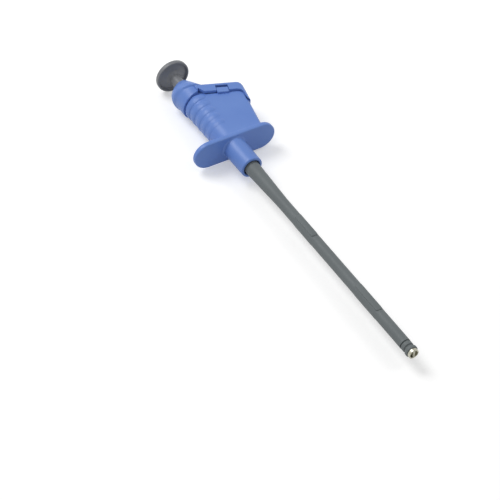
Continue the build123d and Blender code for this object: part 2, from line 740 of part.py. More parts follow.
def tip_bush():
    """Metal bush that guides the jaw carrier and holds the tip sleeve to the sheath."""
    return tube(BUSH_BACK, BUSH_FRONT, BUSH_OUTER_RADIUS, BUSH_BORE_RADIUS)


def jaw_carrier():
    """Sliding slug with a fork for the jaw pin, crimped on the pull wire."""
    fork_half_gap = JAW_ARM_HALF_WIDTH + JAW_FACE_GAP + FORK_SIDE_GAP
    fork_back = HINGE_STATION - JAW_EYE_RADIUS - JAW_HEAD_GAP * 2
    body = rod(CARRIER_BACK, CARRIER_FRONT, BUSH_BORE_RADIUS - SLIDE_CLEARANCE)
    body = body - rod(CARRIER_BACK, CARRIER_BACK + CARRIER_GRIP_DEPTH, WIRE_RADIUS)
    fork = Pos(fork_back + FAR, 0, 0) * Box(2 * FAR, 2 * FAR, 2 * fork_half_gap)
    body = body - fork
    return body - pin_bar(JAW_PIN_RADIUS, FAR)


def pin_bar(radius, half_length):
    """Upright bar at the jaws' hinge line."""
    return Pos(HINGE_STATION, 0, 0) * Cylinder(radius, 2 * half_length)


def jaw_pin():
    """Pin through the carrier's fork and both jaw eyes."""
    reach = BUSH_BORE_RADIUS - SLIDE_CLEARANCE
    half_length = (reach**2 - JAW_PIN_RADIUS**2) ** 0.5 - JAW_FACE_GAP
    return pin_bar(JAW_PIN_RADIUS, half_length)


def jaw(side):
    """One jaw, side +1 or -1: eye, spring arm and half-round head with a toothed face."""
    arm_top = JAW_FACE_GAP + JAW_ARM_THICKNESS
    head_back = TIP_FACE + JAW_HEAD_GAP
    wide_from = HINGE_STATION + JAW_EYE_RADIUS + JAW_HEAD_GAP * 2
    half = JAW_ARM_HALF_WIDTH
    arm = line_face(
        (HINGE_STATION, JAW_FACE_GAP),
        (head_back + JAW_HEAD_LENGTH / 4, JAW_FACE_GAP),
        (head_back + JAW_HEAD_LENGTH / 4, arm_top),
        (HINGE_STATION, arm_top),
    )
    wide = Pos(wide_from + FAR, 0, 0) * Box(2 * FAR, 2 * FAR, 2 * half)
    eye_layer = Pos(HINGE_STATION, 0, (half + JAW_FACE_GAP) / 2) * Box(
        2 * FAR, 2 * FAR, half - JAW_FACE_GAP
    )
    blade = extrude(arm, 2 * half, both=True)
    eye = Pos(HINGE_STATION, 0, 0) * Cylinder(JAW_EYE_RADIUS, 2 * half)
    piece = (blade & wide) + ((blade + eye) & eye_layer)
    head = half_round(head_back, JAW_FRONT, JAW_HEAD_RADIUS, JAW_FACE_GAP)
    pocket_back = JAW_FRONT - JAW_POCKET_DEPTH
    pocket_face = JAW_FACE_GAP + JAW_FACE_WALL
    head = head - half_round(pocket_back, JAW_FRONT, JAW_HEAD_RADIUS - JAW_SHELL, pocket_face)
    piece = piece + head - pin_bar(JAW_PIN_RADIUS + JAW_PIN_FIT, FAR)
    for index in range(JAW_TOOTH_COUNT):
        station = head_back + JAW_HEAD_LENGTH * (index + 1) / (JAW_TOOTH_COUNT + 1)
        depth = JAW_TOOTH_DEPTH
        groove = line_face(
            (station - depth, JAW_FACE_GAP), (station + depth, JAW_FACE_GAP), (station, JAW_FACE_GAP + depth)
        )
        piece = piece - extrude(groove, FAR, both=True)
    return piece if side > 0 else Rot(180, 0, 0) * piece


def half_round(back, front, radius, face):
    """Half of a round bar on the axis, above a flat face at the given distance."""
    keep = Pos(0, face + FAR, 0) * Box(8 * FAR, 2 * FAR, 2 * FAR)
    return rod(back, front, radius) & keep


def build():
    """All pieces by node name, drawn about the clip's axis."""
    return {
        "thumb_button": thumb_button(),
        "plunger_rod": plunger_rod(),
        "wire_crimp": wire_crimp(),
        "pull_wire": pull_wire(),
        "jaw_carrier": jaw_carrier(),
        "jaw_pin": jaw_pin(),
        "jaw_left": jaw(1),
        "jaw_right": jaw(-1),
        "return_spring": return_spring(),
        "spring_seat": spring_seat(),
        "cover_cap": cover_cap(),
        "body_housing": body_housing(),
        "plug_socket": plug_socket(),
        "contact_strip": contact_strip(),
        "contact_sleeve": contact_sleeve(),
        "wiper_ring": wiper_ring(),
        "guide_liner": guide_liner(),
        "shaft_sheath": shaft_sheath(),
        "shaft_ferrule": shaft_ferrule(),
        "tip_sleeve": tip_sleeve(),
        "tip_bush": tip_bush(),
    }


def placement(pieces):
    """Shift that brings the bottom centre of the whole clip to the origin."""
    boxes = [piece.bounding_box() for piece in pieces.values()]
    low_x = min(box.min.X for box in boxes)
    high_x = max(box.max.X for box in boxes)
    low_y = min(box.min.Y for box in boxes)
    high_y = max(box.max.Y for box in boxes)
    low_z = min(box.min.Z for box in boxes)
    return Pos(-(low_x + high_x) / 2, -(low_y + high_y) / 2, -low_z)


pieces = build()
shift = placement(pieces)
os.makedirs("parts", exist_ok=True)
for name, piece in pieces.items():
    export_step(shift * piece, f"parts/{name}.step")
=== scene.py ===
"""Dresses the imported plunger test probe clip: moulded handle, thumb button, long flexible shaft, metal jaws.

Lengths are millimetres about the clip's own axis: x runs from the thumb disc's outer face towards the
jaws, y points to the plug socket's side of the handle, z is up. Finished meshes are in metres in the
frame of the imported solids.
"""

import logging
import math
from dataclasses import dataclass
from enum import Enum
from typing import Any, Callable, Sequence

import bmesh
import bpy
from mathutils import Matrix, Vector


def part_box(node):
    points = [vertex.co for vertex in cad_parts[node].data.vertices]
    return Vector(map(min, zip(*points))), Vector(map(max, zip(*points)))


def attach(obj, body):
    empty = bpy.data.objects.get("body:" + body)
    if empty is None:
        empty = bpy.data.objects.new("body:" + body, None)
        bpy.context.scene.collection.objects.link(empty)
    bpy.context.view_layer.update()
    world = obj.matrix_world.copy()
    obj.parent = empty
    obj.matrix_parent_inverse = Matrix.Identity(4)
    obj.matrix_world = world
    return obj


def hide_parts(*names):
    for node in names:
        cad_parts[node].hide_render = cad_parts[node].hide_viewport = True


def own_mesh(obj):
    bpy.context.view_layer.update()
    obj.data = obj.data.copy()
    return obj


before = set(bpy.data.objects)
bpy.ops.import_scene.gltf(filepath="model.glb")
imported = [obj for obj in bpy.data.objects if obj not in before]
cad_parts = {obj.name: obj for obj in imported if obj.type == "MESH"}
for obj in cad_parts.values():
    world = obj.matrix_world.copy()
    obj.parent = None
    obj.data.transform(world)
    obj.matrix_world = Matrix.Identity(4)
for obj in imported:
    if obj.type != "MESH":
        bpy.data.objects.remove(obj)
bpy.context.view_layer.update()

LOG = logging.getLogger("probe_clip")
MM = 0.001
SHARP_DEGREES = 32.0
WELD_MM = 0.0005
Point = tuple[float, float, float]
Pair = tuple[float, float]
Rule = Callable[[float, float], float]
Inputs = dict[str | int, Any]
ACROSS = (0.0, math.pi / 2, 0.0)


class Body(Enum):
    """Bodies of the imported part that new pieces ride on."""

    HANDLE = "handle"
    PLUNGER = "plunger"


class Slot(Enum):
    """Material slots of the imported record."""

    BLUE = "blue_plastic"
    GREY = "grey_plastic"
    SHAFT = "shaft_plastic"
    BRASS = "brass"
    STEEL = "steel"
    SOCKET = "socket_metal"
    JAW = "jaw_metal"


def axis_origin() -> Vector:
    """Finds the clip's axis at the thumb disc's outer face, in metres in the frame of the solids."""
    low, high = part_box("plunger_rod")
    return Vector((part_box("thumb_button")[0].x, (low.y + high.y) / 2, (low.z + high.z) / 2))


ORIGIN = axis_origin()


def linear(code: str) -> tuple[float, float, float, float]:
    """Turns an sRGB hex colour into linear light.

    Args:
        code: Six hex digits after a hash sign.

    Returns:
        Red, green, blue and an alpha of 1.
    """
    shares = [int(code[i : i + 2], 16) / 255 for i in (1, 3, 5)]
    parts = [s / 12.92 if s <= 0.04045 else ((s + 0.055) / 1.055) ** 2.4 for s in shares]
    return (parts[0], parts[1], parts[2], 1.0)


WHITE = linear("#FFFFFF")


def add_node(
    tree: bpy.types.NodeTree, kind: str, inputs: Inputs | None = None, **settings: Any
) -> bpy.types.Node:
    """Adds one node with its settings, values and links.

    Args:
        tree: Node tree that the node joins.
        kind: Blender's name of the node's type.
        inputs: Value or output socket for each input, by its name or its place in the list.
        **settings: Properties of the node itself.

    Returns:
        The new node.
    """
    node = tree.nodes.new(kind)
    for name, value in settings.items():
        setattr(node, name, value)
    for name, value in (inputs or {}).items():
        if isinstance(value, bpy.types.NodeSocket):
            tree.links.new(value, node.inputs[name])
        else:
            node.inputs[name].default_value = value
    return node


def placed(name: str, data: bpy.types.ID) -> bpy.types.Object:
    """Puts a new object into the scene.

    Args:
        name: Name of the object.
        data: Mesh, light or camera that it holds.

    Returns:
        The object.
    """
    item = bpy.data.objects.new(name, data)
    bpy.context.scene.collection.objects.link(item)
    return item


@dataclass(frozen=True)
class Finish:
    """Moulded or extruded plastic: fine grain, clouded colour, convex edges painted paler as a painted
    highlight that also stands for handling wear, and a low bump.

    Each drawn_out gives how many times longer a pattern is along x, y and z than its size.
    """

    name: str
    colour: str
    second: str
    roughness: float
    grain_mm: float
    grain_depth_mm: float
    drawn_out: Point = (1.0, 1.0, 1.0)
    cloud_drawn_out: Point = (1.0, 1.0, 1.0)
    cloud_mm: float = 14.0
    cloud_range: Pair = (0.35, 0.65)
    cloud_share: float = 0.3
    # Pointiness range and share of the paler edge colour: a painted highlight on convex edges, partly standing
    # for handling wear.
    edge_sheen_and_wear_range: Pair = (0.52, 0.62)
    edge_sheen_and_wear_share: float = 0.35
    gloss_range: Pair = (0.3, 0.7)
    gloss_swing: Pair = (-0.06, 0.08)
    details: tuple[int, int] = (4, 5)
    bump_strength: float = 0.5
    metallic: float = 0.0
    specular: float = 0.4

    def build(self) -> bpy.types.Material:
        """Makes the material.

        Returns:
            A material whose colour, roughness and bump follow object coordinates.
        """
        material = bpy.data.materials.new(self.name)
        material.use_nodes = True
        tree = material.node_tree
        shader = tree.nodes["Principled BSDF"]
        place = add_node(tree, "ShaderNodeTexCoord").outputs["Object"]
        patterns = []
        for drawn_out, size, detail in (
            (self.cloud_drawn_out, self.cloud_mm, self.details[0]),
            (self.drawn_out, self.grain_mm, self.details[1]),
        ):
            scale = tuple(1 / length for length in drawn_out)
            laid = add_node(tree, "ShaderNodeMapping", {"Vector": place, "Scale": scale}).outputs["Vector"]
            noise = {"Vector": laid, "Scale": 1 / (size * MM), "Detail": detail}
            patterns.append(add_node(tree, "ShaderNodeTexNoise", noise).outputs["Fac"])
        cloud, grain = patterns
        # Pointiness drives the edge mark: convex edges are painted towards the paler second colour, a painted
        # highlight that also stands for wear from handling.
        edges = add_node(tree, "ShaderNodeNewGeometry").outputs["Pointiness"]
        smooth, dull = (self.roughness + swing for swing in self.gloss_swing)
        ranges = []
        for value, (start, end), low, high in (
            (edges, self.edge_sheen_and_wear_range, 0.0, self.edge_sheen_and_wear_share),
            (cloud, self.cloud_range, 0.0, self.cloud_share),
            (grain, self.gloss_range, smooth, dull),
        ):
            span = {"Value": value, "From Min": start, "From Max": end, "To Min": low, "To Max": high}
            ranges.append(add_node(tree, "ShaderNodeMapRange", span).outputs["Result"])
        edge_sheen_and_wear, clouded, gloss = ranges
        share = add_node(tree, "ShaderNodeMath", {0: edge_sheen_and_wear, 1: clouded}, operation="MAXIMUM").outputs["Value"]
        tint = add_node(tree, "ShaderNodeMix", {"Factor": share}, data_type="RGBA")
        for socket, code in zip((s for s in tint.inputs if s.type == "RGBA"), (self.colour, self.second)):
            socket.default_value = linear(code)
        colour = next(s for s in tint.outputs if s.type == "RGBA")
        relief = {"Height": grain, "Strength": self.bump_strength, "Distance": self.grain_depth_mm * MM}
        bump = add_node(tree, "ShaderNodeBump", relief).outputs["Normal"]
        for name, value in {"Base Color": colour, "Roughness": gloss, "Normal": bump}.items():
            tree.links.new(value, shader.inputs[name])
        shader.inputs["Metallic"].default_value = self.metallic
        shader.inputs["Specular IOR Level"].default_value = self.specular
        return material


@dataclass(frozen=True)
class Metal(Finish):
    """Turned, drawn or plated metal: fine lines, close along x and long across it, and a blotchy stain."""

    grain_mm: float = 0.25
    grain_depth_mm: float = 0.004
    drawn_out: Point = (1.0, 14.0, 14.0)
    cloud_mm: float = 1.5
    cloud_range: Pair = (0.4, 0.7)
    cloud_share: float = 1.0
    # Metals get none of the painted edge highlight.
    edge_sheen_and_wear_share: float = 0.0
    gloss_range: Pair = (0.0, 1.0)
    gloss_swing: Pair = (-0.05, 0.1)
    details: tuple[int, int] = (3, 3)
    metallic: float = 1.0
    specular: float = 0.5


# Moulded polyamide: an even satin blue whose edges are painted a little paler, a painted highlight that also
# stands for handling wear.
BLUE_POLYAMIDE = Finish("moulded_blue_polyamide", "#6184CC", "#7294D6", 0.38, 0.6, 0.018)
# Moulded polyamide of the thumb button: mid grey, as satin as the handle.
GREY_POLYAMIDE = Finish("moulded_grey_polyamide", "#727478", "#888A8E", 0.38, 0.5, 0.018)
# Patterns of the sheath are twice as long along the shaft as across it.
ALONG_SHAFT = (2.0, 1.0, 1.0)
# Extruded thermoplastic sheath: duller grey with a coarser grain.
GREY_SHEATH = Finish(
    "extruded_grey_sheath", "#6B7173", "#7C8384", 0.5, 0.5, 0.04, ALONG_SHAFT, ALONG_SHAFT, specular=0.22
)
# Turned brass: warm yellow with fine tool lines.
TURNED_BRASS = Metal("turned_brass", "#D9B25C", "#B98F45", 0.28)
# Drawn spring steel: cool grey with fine lines.
DRAWN_STEEL = Metal("drawn_spring_steel", "#B9BABC", "#94969A", 0.3)
# Nickel-plated brass of the plug socket: pale warm silver.
NICKEL_PLATE = Metal("nickel_plated_brass", "#D8D4C8", "#B5B0A4", 0.22)
# Plated bronze of the jaws: greyish straw silver, dulled by use.
PLATED_BRONZE = Metal("plated_bronze", "#C6C5B6", "#8F8D7E", 0.36, grain_mm=0.15)


class Finishes:
    """Every finish of the clip, made once and shared by its pieces."""

    def __init__(self) -> None:
        """Builds one material for each slot of the record."""
        finishes = {
            Slot.BLUE: BLUE_POLYAMIDE,
            Slot.GREY: GREY_POLYAMIDE,
            Slot.SHAFT: GREY_SHEATH,
            Slot.BRASS: TURNED_BRASS,
            Slot.STEEL: DRAWN_STEEL,
            Slot.SOCKET: NICKEL_PLATE,
            Slot.JAW: PLATED_BRONZE,
        }
        self.materials = {slot: finish.build() for slot, finish in finishes.items()}

    def __getitem__(self, slot: Slot) -> bpy.types.Material:
        """Returns the material of a slot."""
        return self.materials[slot]

    def dress_node(self, name: str, slot: Slot) -> None:
        """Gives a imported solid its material.

        Args:
            name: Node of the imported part.
            slot: Finish that it takes.
        """
        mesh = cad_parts[name].data
        mesh.materials.clear()
        mesh.materials.append(self[slot])
        LOG.info("packed solid %s takes %s", name, self[slot].name)


def rounded(corners: Sequence[tuple[float, float, float]], steps: int = 5) -> list[Pair]:
    """Rounds the corners of a profile.

    Args:
        corners: Station, radius from the axis and corner rounding for each corner, in order.
        steps: Runs in each rounded corner.

    Returns:
        The profile's points.
    """
    points: list[Pair] = []
    for index, (x, r, rounding) in enumerate(corners):
        if rounding <= 0 or index in (0, len(corners) - 1):
            points.append((x, r))
            continue
        here = Vector((x, r))
        back = (Vector(corners[index - 1][:2]) - here).normalized()
        ahead = (Vector(corners[index + 1][:2]) - here).normalized()
        half = back.angle(ahead) / 2
        reach = rounding / math.tan(half)
        centre = here + (back + ahead).normalized() * (rounding / math.sin(half))
        start = here + back * reach - centre
        end = here + ahead * reach - centre
        sweep = start.angle_signed(end)
        for step in range(steps + 1):
            spoke = Matrix.Rotation(-sweep * step / steps, 2) @ start
            points.append(tuple(centre + spoke))
    return points


class Draft:
    """A mesh in the making, in millimetres about the clip's axis."""

    def __init__(self) -> None:
        """Starts with no points and no faces."""
        self.points: list[Point] = []
        self.faces: list[list[int]] = []

    def ring(self, points: Sequence[Point]) -> list[int]:
        """Adds a ring of points.

        Args:
            points: Places of the points.

        Returns:
            Their numbers.
        """
        first = len(self.points)
        self.points.extend(tuple(p) for p in points)
        return list(range(first, first + len(points)))

    def bridge(self, first: Sequence[int], second: Sequence[int], closed: bool = True) -> None:
        """Joins two rows of as many points by quads.

        Args:
            first: Numbers of one row's points.
            second: Numbers of the other row's points.
            closed: Whether the rows run round and meet themselves.
        """
        count = len(first)
        for i in range(count if closed else count - 1):
            j = (i + 1) % count
            self.faces.append([first[i], first[j], second[j], second[i]])

    def loft(self, rings: Sequence[Sequence[int]], loop: bool = False) -> None:
        """Bridges each ring to the next.

        Args:
            rings: Numbers of each ring's points.
            loop: Whether the last ring is bridged to the first.
        """
        for first, second in zip(rings, rings[1:]):
            self.bridge(first, second)
        if loop:
            self.bridge(rings[-1], rings[0])

    def fan(self, ring: Sequence[int], centre: Point) -> None:
        """Closes a ring with triangles that meet at a point.

        Args:
            ring: Numbers of the ring's points.
            centre: Point that the triangles meet at.
        """
        hub = self.ring([centre])[0]
        for i, number in enumerate(ring):
            self.faces.append([number, ring[(i + 1) % len(ring)], hub])

    def mirror_cap(self, ring: Sequence[int]) -> None:
        """Closes a ring that is the same above and below by strips across it.

        Args:
            ring: Numbers of the upper half's points, then of the lower half's in the opposite order.
        """
        half = len(ring) // 2
        upper = ring[:half]
        lower = list(reversed(ring[half:]))
        self.bridge(upper, lower, closed=False)

    def lathe(self, profile: Sequence[Pair], count: int, loop: bool = False) -> None:
        """Turns a profile about the axis.

        Args:
            profile: Station and radius of each point; a radius of 0 is a pole.
            count: Points round the axis.
            loop: Whether the profile closes on itself, as a tube's does.
        """
        rings = []
        poles = []
        for x, r in profile:
            if r <= 0:
                poles.append((len(rings), x))
                continue
            turns = [2 * math.pi * i / count for i in range(count)]
            rings.append(self.ring([(x, r * math.cos(t), r * math.sin(t)) for t in turns]))
        self.loft(rings, loop)
        for place, x in poles:
            self.fan(rings[0] if place == 0 else rings[-1], (x, 0.0, 0.0))

    def mesh(self, name: str) -> bpy.types.Mesh:
        """Makes a closed mesh with outward faces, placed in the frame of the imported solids.

        Args:
            name: Name of the mesh.

        Returns:
            The mesh in metres.
        """
        work = bmesh.new()
        vertices = [work.verts.new(ORIGIN + Vector(p) * MM) for p in self.points]
        for face in self.faces:
            unique = list(dict.fromkeys(face))
            if len(unique) > 2:
                work.faces.new([vertices[i] for i in unique])
        bmesh.ops.remove_doubles(work, verts=work.verts, dist=WELD_MM * MM)
        bmesh.ops.dissolve_degenerate(work, edges=work.edges, dist=WELD_MM * MM)
        bmesh.ops.recalc_face_normals(work, faces=work.faces)
        mesh = bpy.data.meshes.new(name)
        work.to_mesh(mesh)
        work.free()
        return mesh


class Ends(Enum):
    """Ways to close the ends of a loft."""

    LOOP = "the last ring joins the first"
    STRIPS = "strips run across rings that are the same above and below"
    FACES = "one face fills each end"


def lofted(name: str, rings: Sequence[Sequence[Point]], ends: Ends) -> bpy.types.Mesh:
    """Lofts rings of points into a closed mesh.

    Args:
        name: Name of the mesh.
        rings: Points of each ring, in order.
        ends: Way to close the ends.

    Returns:
        The mesh in metres.
    """
    draft = Draft()
    numbers = [draft.ring(points) for points in rings]
    draft.loft(numbers, loop=ends is Ends.LOOP)
    if ends is Ends.STRIPS:
        draft.mirror_cap(numbers[0])
        draft.mirror_cap(numbers[-1])
    elif ends is Ends.FACES:
        draft.faces += [numbers[0], numbers[-1]]
    return draft.mesh(name)


def turned(name: str, profile: Sequence[Pair], count: int = 96, loop: bool = True) -> bpy.types.Mesh:
    """Turns a profile about the axis into a closed mesh.

    Args:
        name: Name of the mesh.
        profile: Station and radius of each point; a radius of 0 is a pole.
        count: Points round the axis.
        loop: Whether the profile closes on itself, as a tube's does.

    Returns:
        The mesh in metres.
    """
    draft = Draft()
    draft.lathe(profile, count, loop)
    return draft.mesh(name)


def blended(first: Rule, second: Rule, share: float) -> Rule:
    """Gives the rule that lies a share of the way from one to another."""
    return lambda y, inset: first(y, inset) * (1 - share) + second(y, inset) * share


def new_piece(
    name: str, meshes: Sequence[bpy.types.Mesh], finishes: Finishes, body: Body, slot: Slot, replaces: str
) -> bpy.types.Object:
    """Joins finished meshes into one piece of the clip.

    Args:
        name: Name of the piece.
        meshes: Its meshes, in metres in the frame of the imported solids.
        finishes: The clip's finishes.
        body: Body that it rides on.
        slot: Slot of the record that its finish comes from.
        replaces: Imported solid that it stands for.

    Returns:
        The piece.
    """
    mesh = joined(meshes, name)
    mesh.materials.append(finishes[slot])
    mesh.shade_smooth()
    mesh.set_sharp_from_angle(angle=math.radians(SHARP_DEGREES))
    piece = placed(name, mesh)
    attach(piece, body.value)
    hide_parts(replaces)
    LOG.info("piece %s: %d faces, rides on %s", name, len(mesh.polygons), body.value)
    return piece


def cut(mesh: bpy.types.Mesh, cutters: Sequence[bpy.types.Mesh]) -> bpy.types.Mesh:
    """Cuts closed meshes out of another.

    Args:
        mesh: Mesh to cut.
        cutters: Closed meshes that are taken away.

    Returns:
        A new mesh.
    """
    target = placed("cut_target", mesh)
    tools = []
    for index, cutter in enumerate(cutters):
        tool = placed(f"cut_tool_{index}", cutter)
        modifier = target.modifiers.new(f"cut_{index}", "BOOLEAN")
        modifier.object = tool
        modifier.operation = "DIFFERENCE"
        modifier.solver = "EXACT"
        tools.append(tool)
    result = evaluated_mesh(target)
    for item in (target, *tools):
        bpy.data.objects.remove(item)
    return result


def evaluated_mesh(item: bpy.types.Object) -> bpy.types.Mesh:
    """Works an object's modifiers into a mesh of its own.

    Args:
        item: Object with modifiers.

    Returns:
        A plain mesh.
    """
    graph = bpy.context.evaluated_depsgraph_get()
    graph.update()
    return bpy.data.meshes.new_from_object(item.evaluated_get(graph))


def joined(meshes: Sequence[bpy.types.Mesh], name: str) -> bpy.types.Mesh:
    """Puts several meshes into one.

    Args:
        meshes: Meshes in the same frame.
        name: Name of the new mesh.

    Returns:
        The new mesh.
    """
    work = bmesh.new()
    for mesh in meshes:
        work.from_mesh(mesh)
    whole = bpy.data.meshes.new(name)
    work.to_mesh(whole)
    work.free()
    return whole


@dataclass(frozen=True)
class HandleForm:
    """Outer form of the handle: a barrel and a rounded wedge joined by tangents, narrowing to the guard."""

    top: float = 8.4
    length: float = 39.9
    barrel_top: float = 5.6
    barrel_bottom: float = 5.5
    reach_top: float = 20.7
    reach_bottom: float = 12.8
    half_thickness: float = 5.0
    edge_round: float = 1.5
    swell: float = 0.0
    arc_columns: int = 36
    line_columns: int = 26
    corner_columns: int = 12

    def share(self, x: float) -> float:
        """Share of the way from the handle's top to its guard."""
        return (x - self.top) / self.length

    def barrel(self, x: float) -> float:
        """Radius of the round side at a station."""
        return self.barrel_top + (self.barrel_bottom - self.barrel_top) * self.share(x)

    def reach(self, x: float) -> float:
        """Distance from the axis to the wedge's outer edge at a station."""
        return self.reach_top + (self.reach_bottom - self.reach_top) * self.share(x)

    def columns(self, with_barrel: bool = True) -> list[tuple[str, float]]:
        """Names the columns of the upper half of the outline.

        Args:
            with_barrel: Whether the barrel's arc is part of the outline.

        Returns:
            The part of the outline and the share along it, from the round side to the outer edge.
        """
        found = []
        if with_barrel:
            found += [("arc", i / self.arc_columns) for i in range(self.arc_columns)]
        found += [("line", i / self.line_columns) for i in range(self.line_columns)]
        found += [("corner", i / self.corner_columns) for i in range(self.corner_columns + 1)]
        found.append(("side", 0.5))
        return found

    def lean(self, x: float, grow: float) -> tuple[float, float, float, float, float]:
        """Works out the tangent from the barrel to the wedge's rounded edge.

        Args:
            x: Station.
            grow: Distance by which the form is grown outward.

        Returns:
            Barrel radius, edge radius, the edge's centre and the tangent's normal angle.
        """
        barrel = self.barrel(x) + grow + self.swell
        corner = max(self.edge_round + grow, 0.4)
        centre_y = self.reach(x) + grow - corner
        centre_z = self.half_thickness + grow - corner
        spacing = math.hypot(centre_y, centre_z)
        angle = math.atan2(centre_z, centre_y) + math.acos((barrel - corner) / spacing)
        return barrel, corner, centre_y, centre_z, angle

    def point(self, x: float, grow: float, column: tuple[str, float]) -> Pair:
        """Finds where a column of the upper half crosses a station.

        Args:
            x: Station.
            grow: Distance by which the form is grown outward.
            column: Part of the outline and share along it.

        Returns:
            Distances y and z from the axis.
        """
        barrel, corner, centre_y, centre_z, angle = self.lean(x, grow)
        part, share = column
        left = (barrel * math.cos(angle), barrel * math.sin(angle))
        right = (centre_y + corner * math.cos(angle), centre_z + corner * math.sin(angle))
        if part == "arc":
            turn = math.pi + (angle - math.pi) * share
            return (barrel * math.cos(turn), barrel * math.sin(turn))
        if part == "line":
            return (left[0] + (right[0] - left[0]) * share, left[1] + (right[1] - left[1]) * share)
        if part == "corner":
            turn = angle * (1 - share)
            return (centre_y + corner * math.cos(turn), centre_z + corner * math.sin(turn))
        return (centre_y + corner, centre_z * (1 - share))

    def face_height(self, x: float, y: float, grow: float) -> float:
        """Height of the flat broad face above the axis plane."""
        barrel, _, _, _, angle = self.lean(x, grow)
        return (barrel - y * math.cos(angle)) / math.sin(angle)

    def edge_inset(self, x: float, grow: float, y: float) -> float:
        """Distance of a point inward from the grown form's outer edge."""
        return self.reach(x) + grow - y

    def ring(
        self,
        station: Rule,
        grow: float,
        with_barrel: bool = True,
    ) -> list[Point]:
        """Finds a closed ring round the form.

        Args:
            station: Gives the station from a point's y and its inset from the outer edge.
            grow: Distance by which the form is grown outward.
            with_barrel: Whether the ring goes round the barrel or closes straight across it.

        Returns:
            The upper half's points from the round side to the outer edge, then the lower half's back.
        """
        upper = []
        for column in self.columns(with_barrel):
            x = self.top + self.length / 2
            y = 0.0
            for _ in range(8):
                y, z = self.point(x, grow, column)
                x = station(y, self.edge_inset(x, grow, y))
            y, z = self.point(x, grow, column)
            upper.append((x, y, z))
        return upper + [(x, y, -z) for x, y, z in reversed(upper)]


@dataclass(frozen=True)
class Seam:
    """Slanted lid and the cover's lower edge, seen square to the broad side."""

    rim: float = 20.2
    rim_slant: float = math.tan(math.radians(8.0))
    lid: float = 16.3
    lid_angle: float = math.radians(17.0)
    lid_corner: float = 2.8
    skirt: float = 4.5
    tail: float = 31.9
    tail_width: float = 1.3
    corner_round: float = 2.4
    notch_offset: float = 1.2
    notch_half_width: float = 0.9
    notch_height: float = 1.6
    proud: float = 0.8

    def slant(self, depth: float, y: float) -> float:
        """Station of the line that lies a depth below the lid, at a distance from the axis."""
        return self.lid + depth / math.cos(self.lid_angle) + y * math.tan(self.lid_angle)

    def rounding(self, inset: float, radius: float) -> float:
        """Finds how far a line bends down in a rounded corner near the outer edge.

        Args:
            inset: Distance inward from the edge.
            radius: Radius of the corner.

        Returns:
            The extra station, which is 0 past the corner.
        """
        if inset >= radius:
            return 0.0
        return radius - math.sqrt(max(radius**2 - (radius - max(inset, 0.0)) ** 2, 0.0))

    def lid_station(self, depth: float) -> Rule:
        """Gives the station rule of the lid's face at a depth below it, with its rounded outer corner."""
        return lambda y, inset: self.slant(depth, y) + self.rounding(inset, self.lid_corner)

    def rule(
        self,
        notched: bool,
        lift: float = 0.0,
        along: float = 0.0,
        across: float = 0.0,
        own_proud: float = 0.8,
    ) -> Rule:
        """Gives the station rule of the seam.

        Args:
            notched: Whether the notch is cut.
            lift: Distance by which the edge is raised towards the thumb disc.
            along: Gap along the axis.
            across: Gap across the axis.
            own_proud: How far the form that follows the rule stands proud of the housing.

        Returns:
            A rule that takes y and the inset from the outer edge.
        """
        threshold = self.tail_width + across - (self.proud - own_proud)

        def station(y: float, inset: float) -> float:
            """Finds where the seam runs.

            Args:
                y: Distance from the axis towards the socket's side.
                inset: Distance inward from the outer edge.

            Returns:
                The seam's station.
            """
            moved = y + across
            rim = self.rim - moved * self.rim_slant
            slant = self.slant(self.skirt, moved)
            left = self.notch_offset - self.notch_half_width
            right = self.notch_offset + self.notch_half_width
            x = rim if notched and moved <= left else max(rim, slant)
            if notched and left < moved < right:
                peak = self.rim - self.notch_height
                if moved < self.notch_offset:
                    start = self.rim - left * self.rim_slant
                    x = start + (peak - start) * (moved - left) / self.notch_half_width
                else:
                    end = self.slant(self.skirt, right)
                    x = peak + (end - peak) * (moved - self.notch_offset) / self.notch_half_width
            beyond = inset - threshold
            if beyond <= 0:
                x = self.tail
            elif beyond < self.corner_round:
                x = slant + self.rounding(beyond, self.corner_round)
            return x + along - lift

        return station


FORM = HandleForm()
COVER_FORM = HandleForm(swell=0.45)
SEAM = Seam()
FAR_INSIDE = 99.0


@dataclass(frozen=True)
class SnapWindow:
    """Window in the skirt on each broad side, and the tongue of the housing that catches in it."""

    offset: float = 11.0
    half_width: float = 2.3
    side_gap: float = 0.15
    window_top: float = 1.55
    tongue_top: float = 2.65
    reach: float = 5.5
    past: float = 2.0
    cut_height: float = 9.0
    sink: float = 0.12
    root: float = -1.2
    bevel: float = 0.12

    def corner(self, along: float, depth: float) -> Pair:
        """Turns a place under the slanted lid into the clip's own measures.

        Args:
            along: Distance along the lid from the axis.
            depth: Distance below the lid.

        Returns:
            The station and y.
        """
        angle = SEAM.lid_angle
        x = SEAM.lid + along * math.sin(angle) + depth * math.cos(angle)
        y = along * math.cos(angle) - depth * math.sin(angle)
        return (x, y)

    def outline(self, half: float, top: float, bottom: float) -> list[Pair]:
        """Corners of a block that is square to the lid, from its half width and its depths below the lid."""
        ends = ((-half, top), (half, top), (half, bottom), (-half, bottom))
        return [self.corner(self.offset + along, depth) for along, depth in ends]

    def cutter(self) -> bpy.types.Mesh:
        """Makes the block that cuts both windows.

        Returns:
            A closed mesh.
        """
        places = self.outline(self.half_width + self.side_gap, self.window_top, self.reach + self.past)
        rings = [[(x, y, z) for x, y in places] for z in (self.cut_height, -self.cut_height)]
        return lofted("window_cutter", rings, Ends.FACES)

    def tongue(self, side: int) -> bpy.types.Mesh:
        """Makes one tongue, bevelled at its catch.

        Args:
            side: 1 for the upper broad side, -1 for the lower.

        Returns:
            A closed mesh.
        """
        rings = []
        top = SEAM.proud - self.sink
        for inset, grow in ((0.0, self.root), (0.0, top - self.bevel), (self.bevel, top)):
            places = self.outline(self.half_width - inset, self.tongue_top + inset, self.reach - inset)
            rings.append([(x, y, side * COVER_FORM.face_height(x, y, grow)) for x, y in places])
        return lofted("tongue", rings, Ends.FACES)


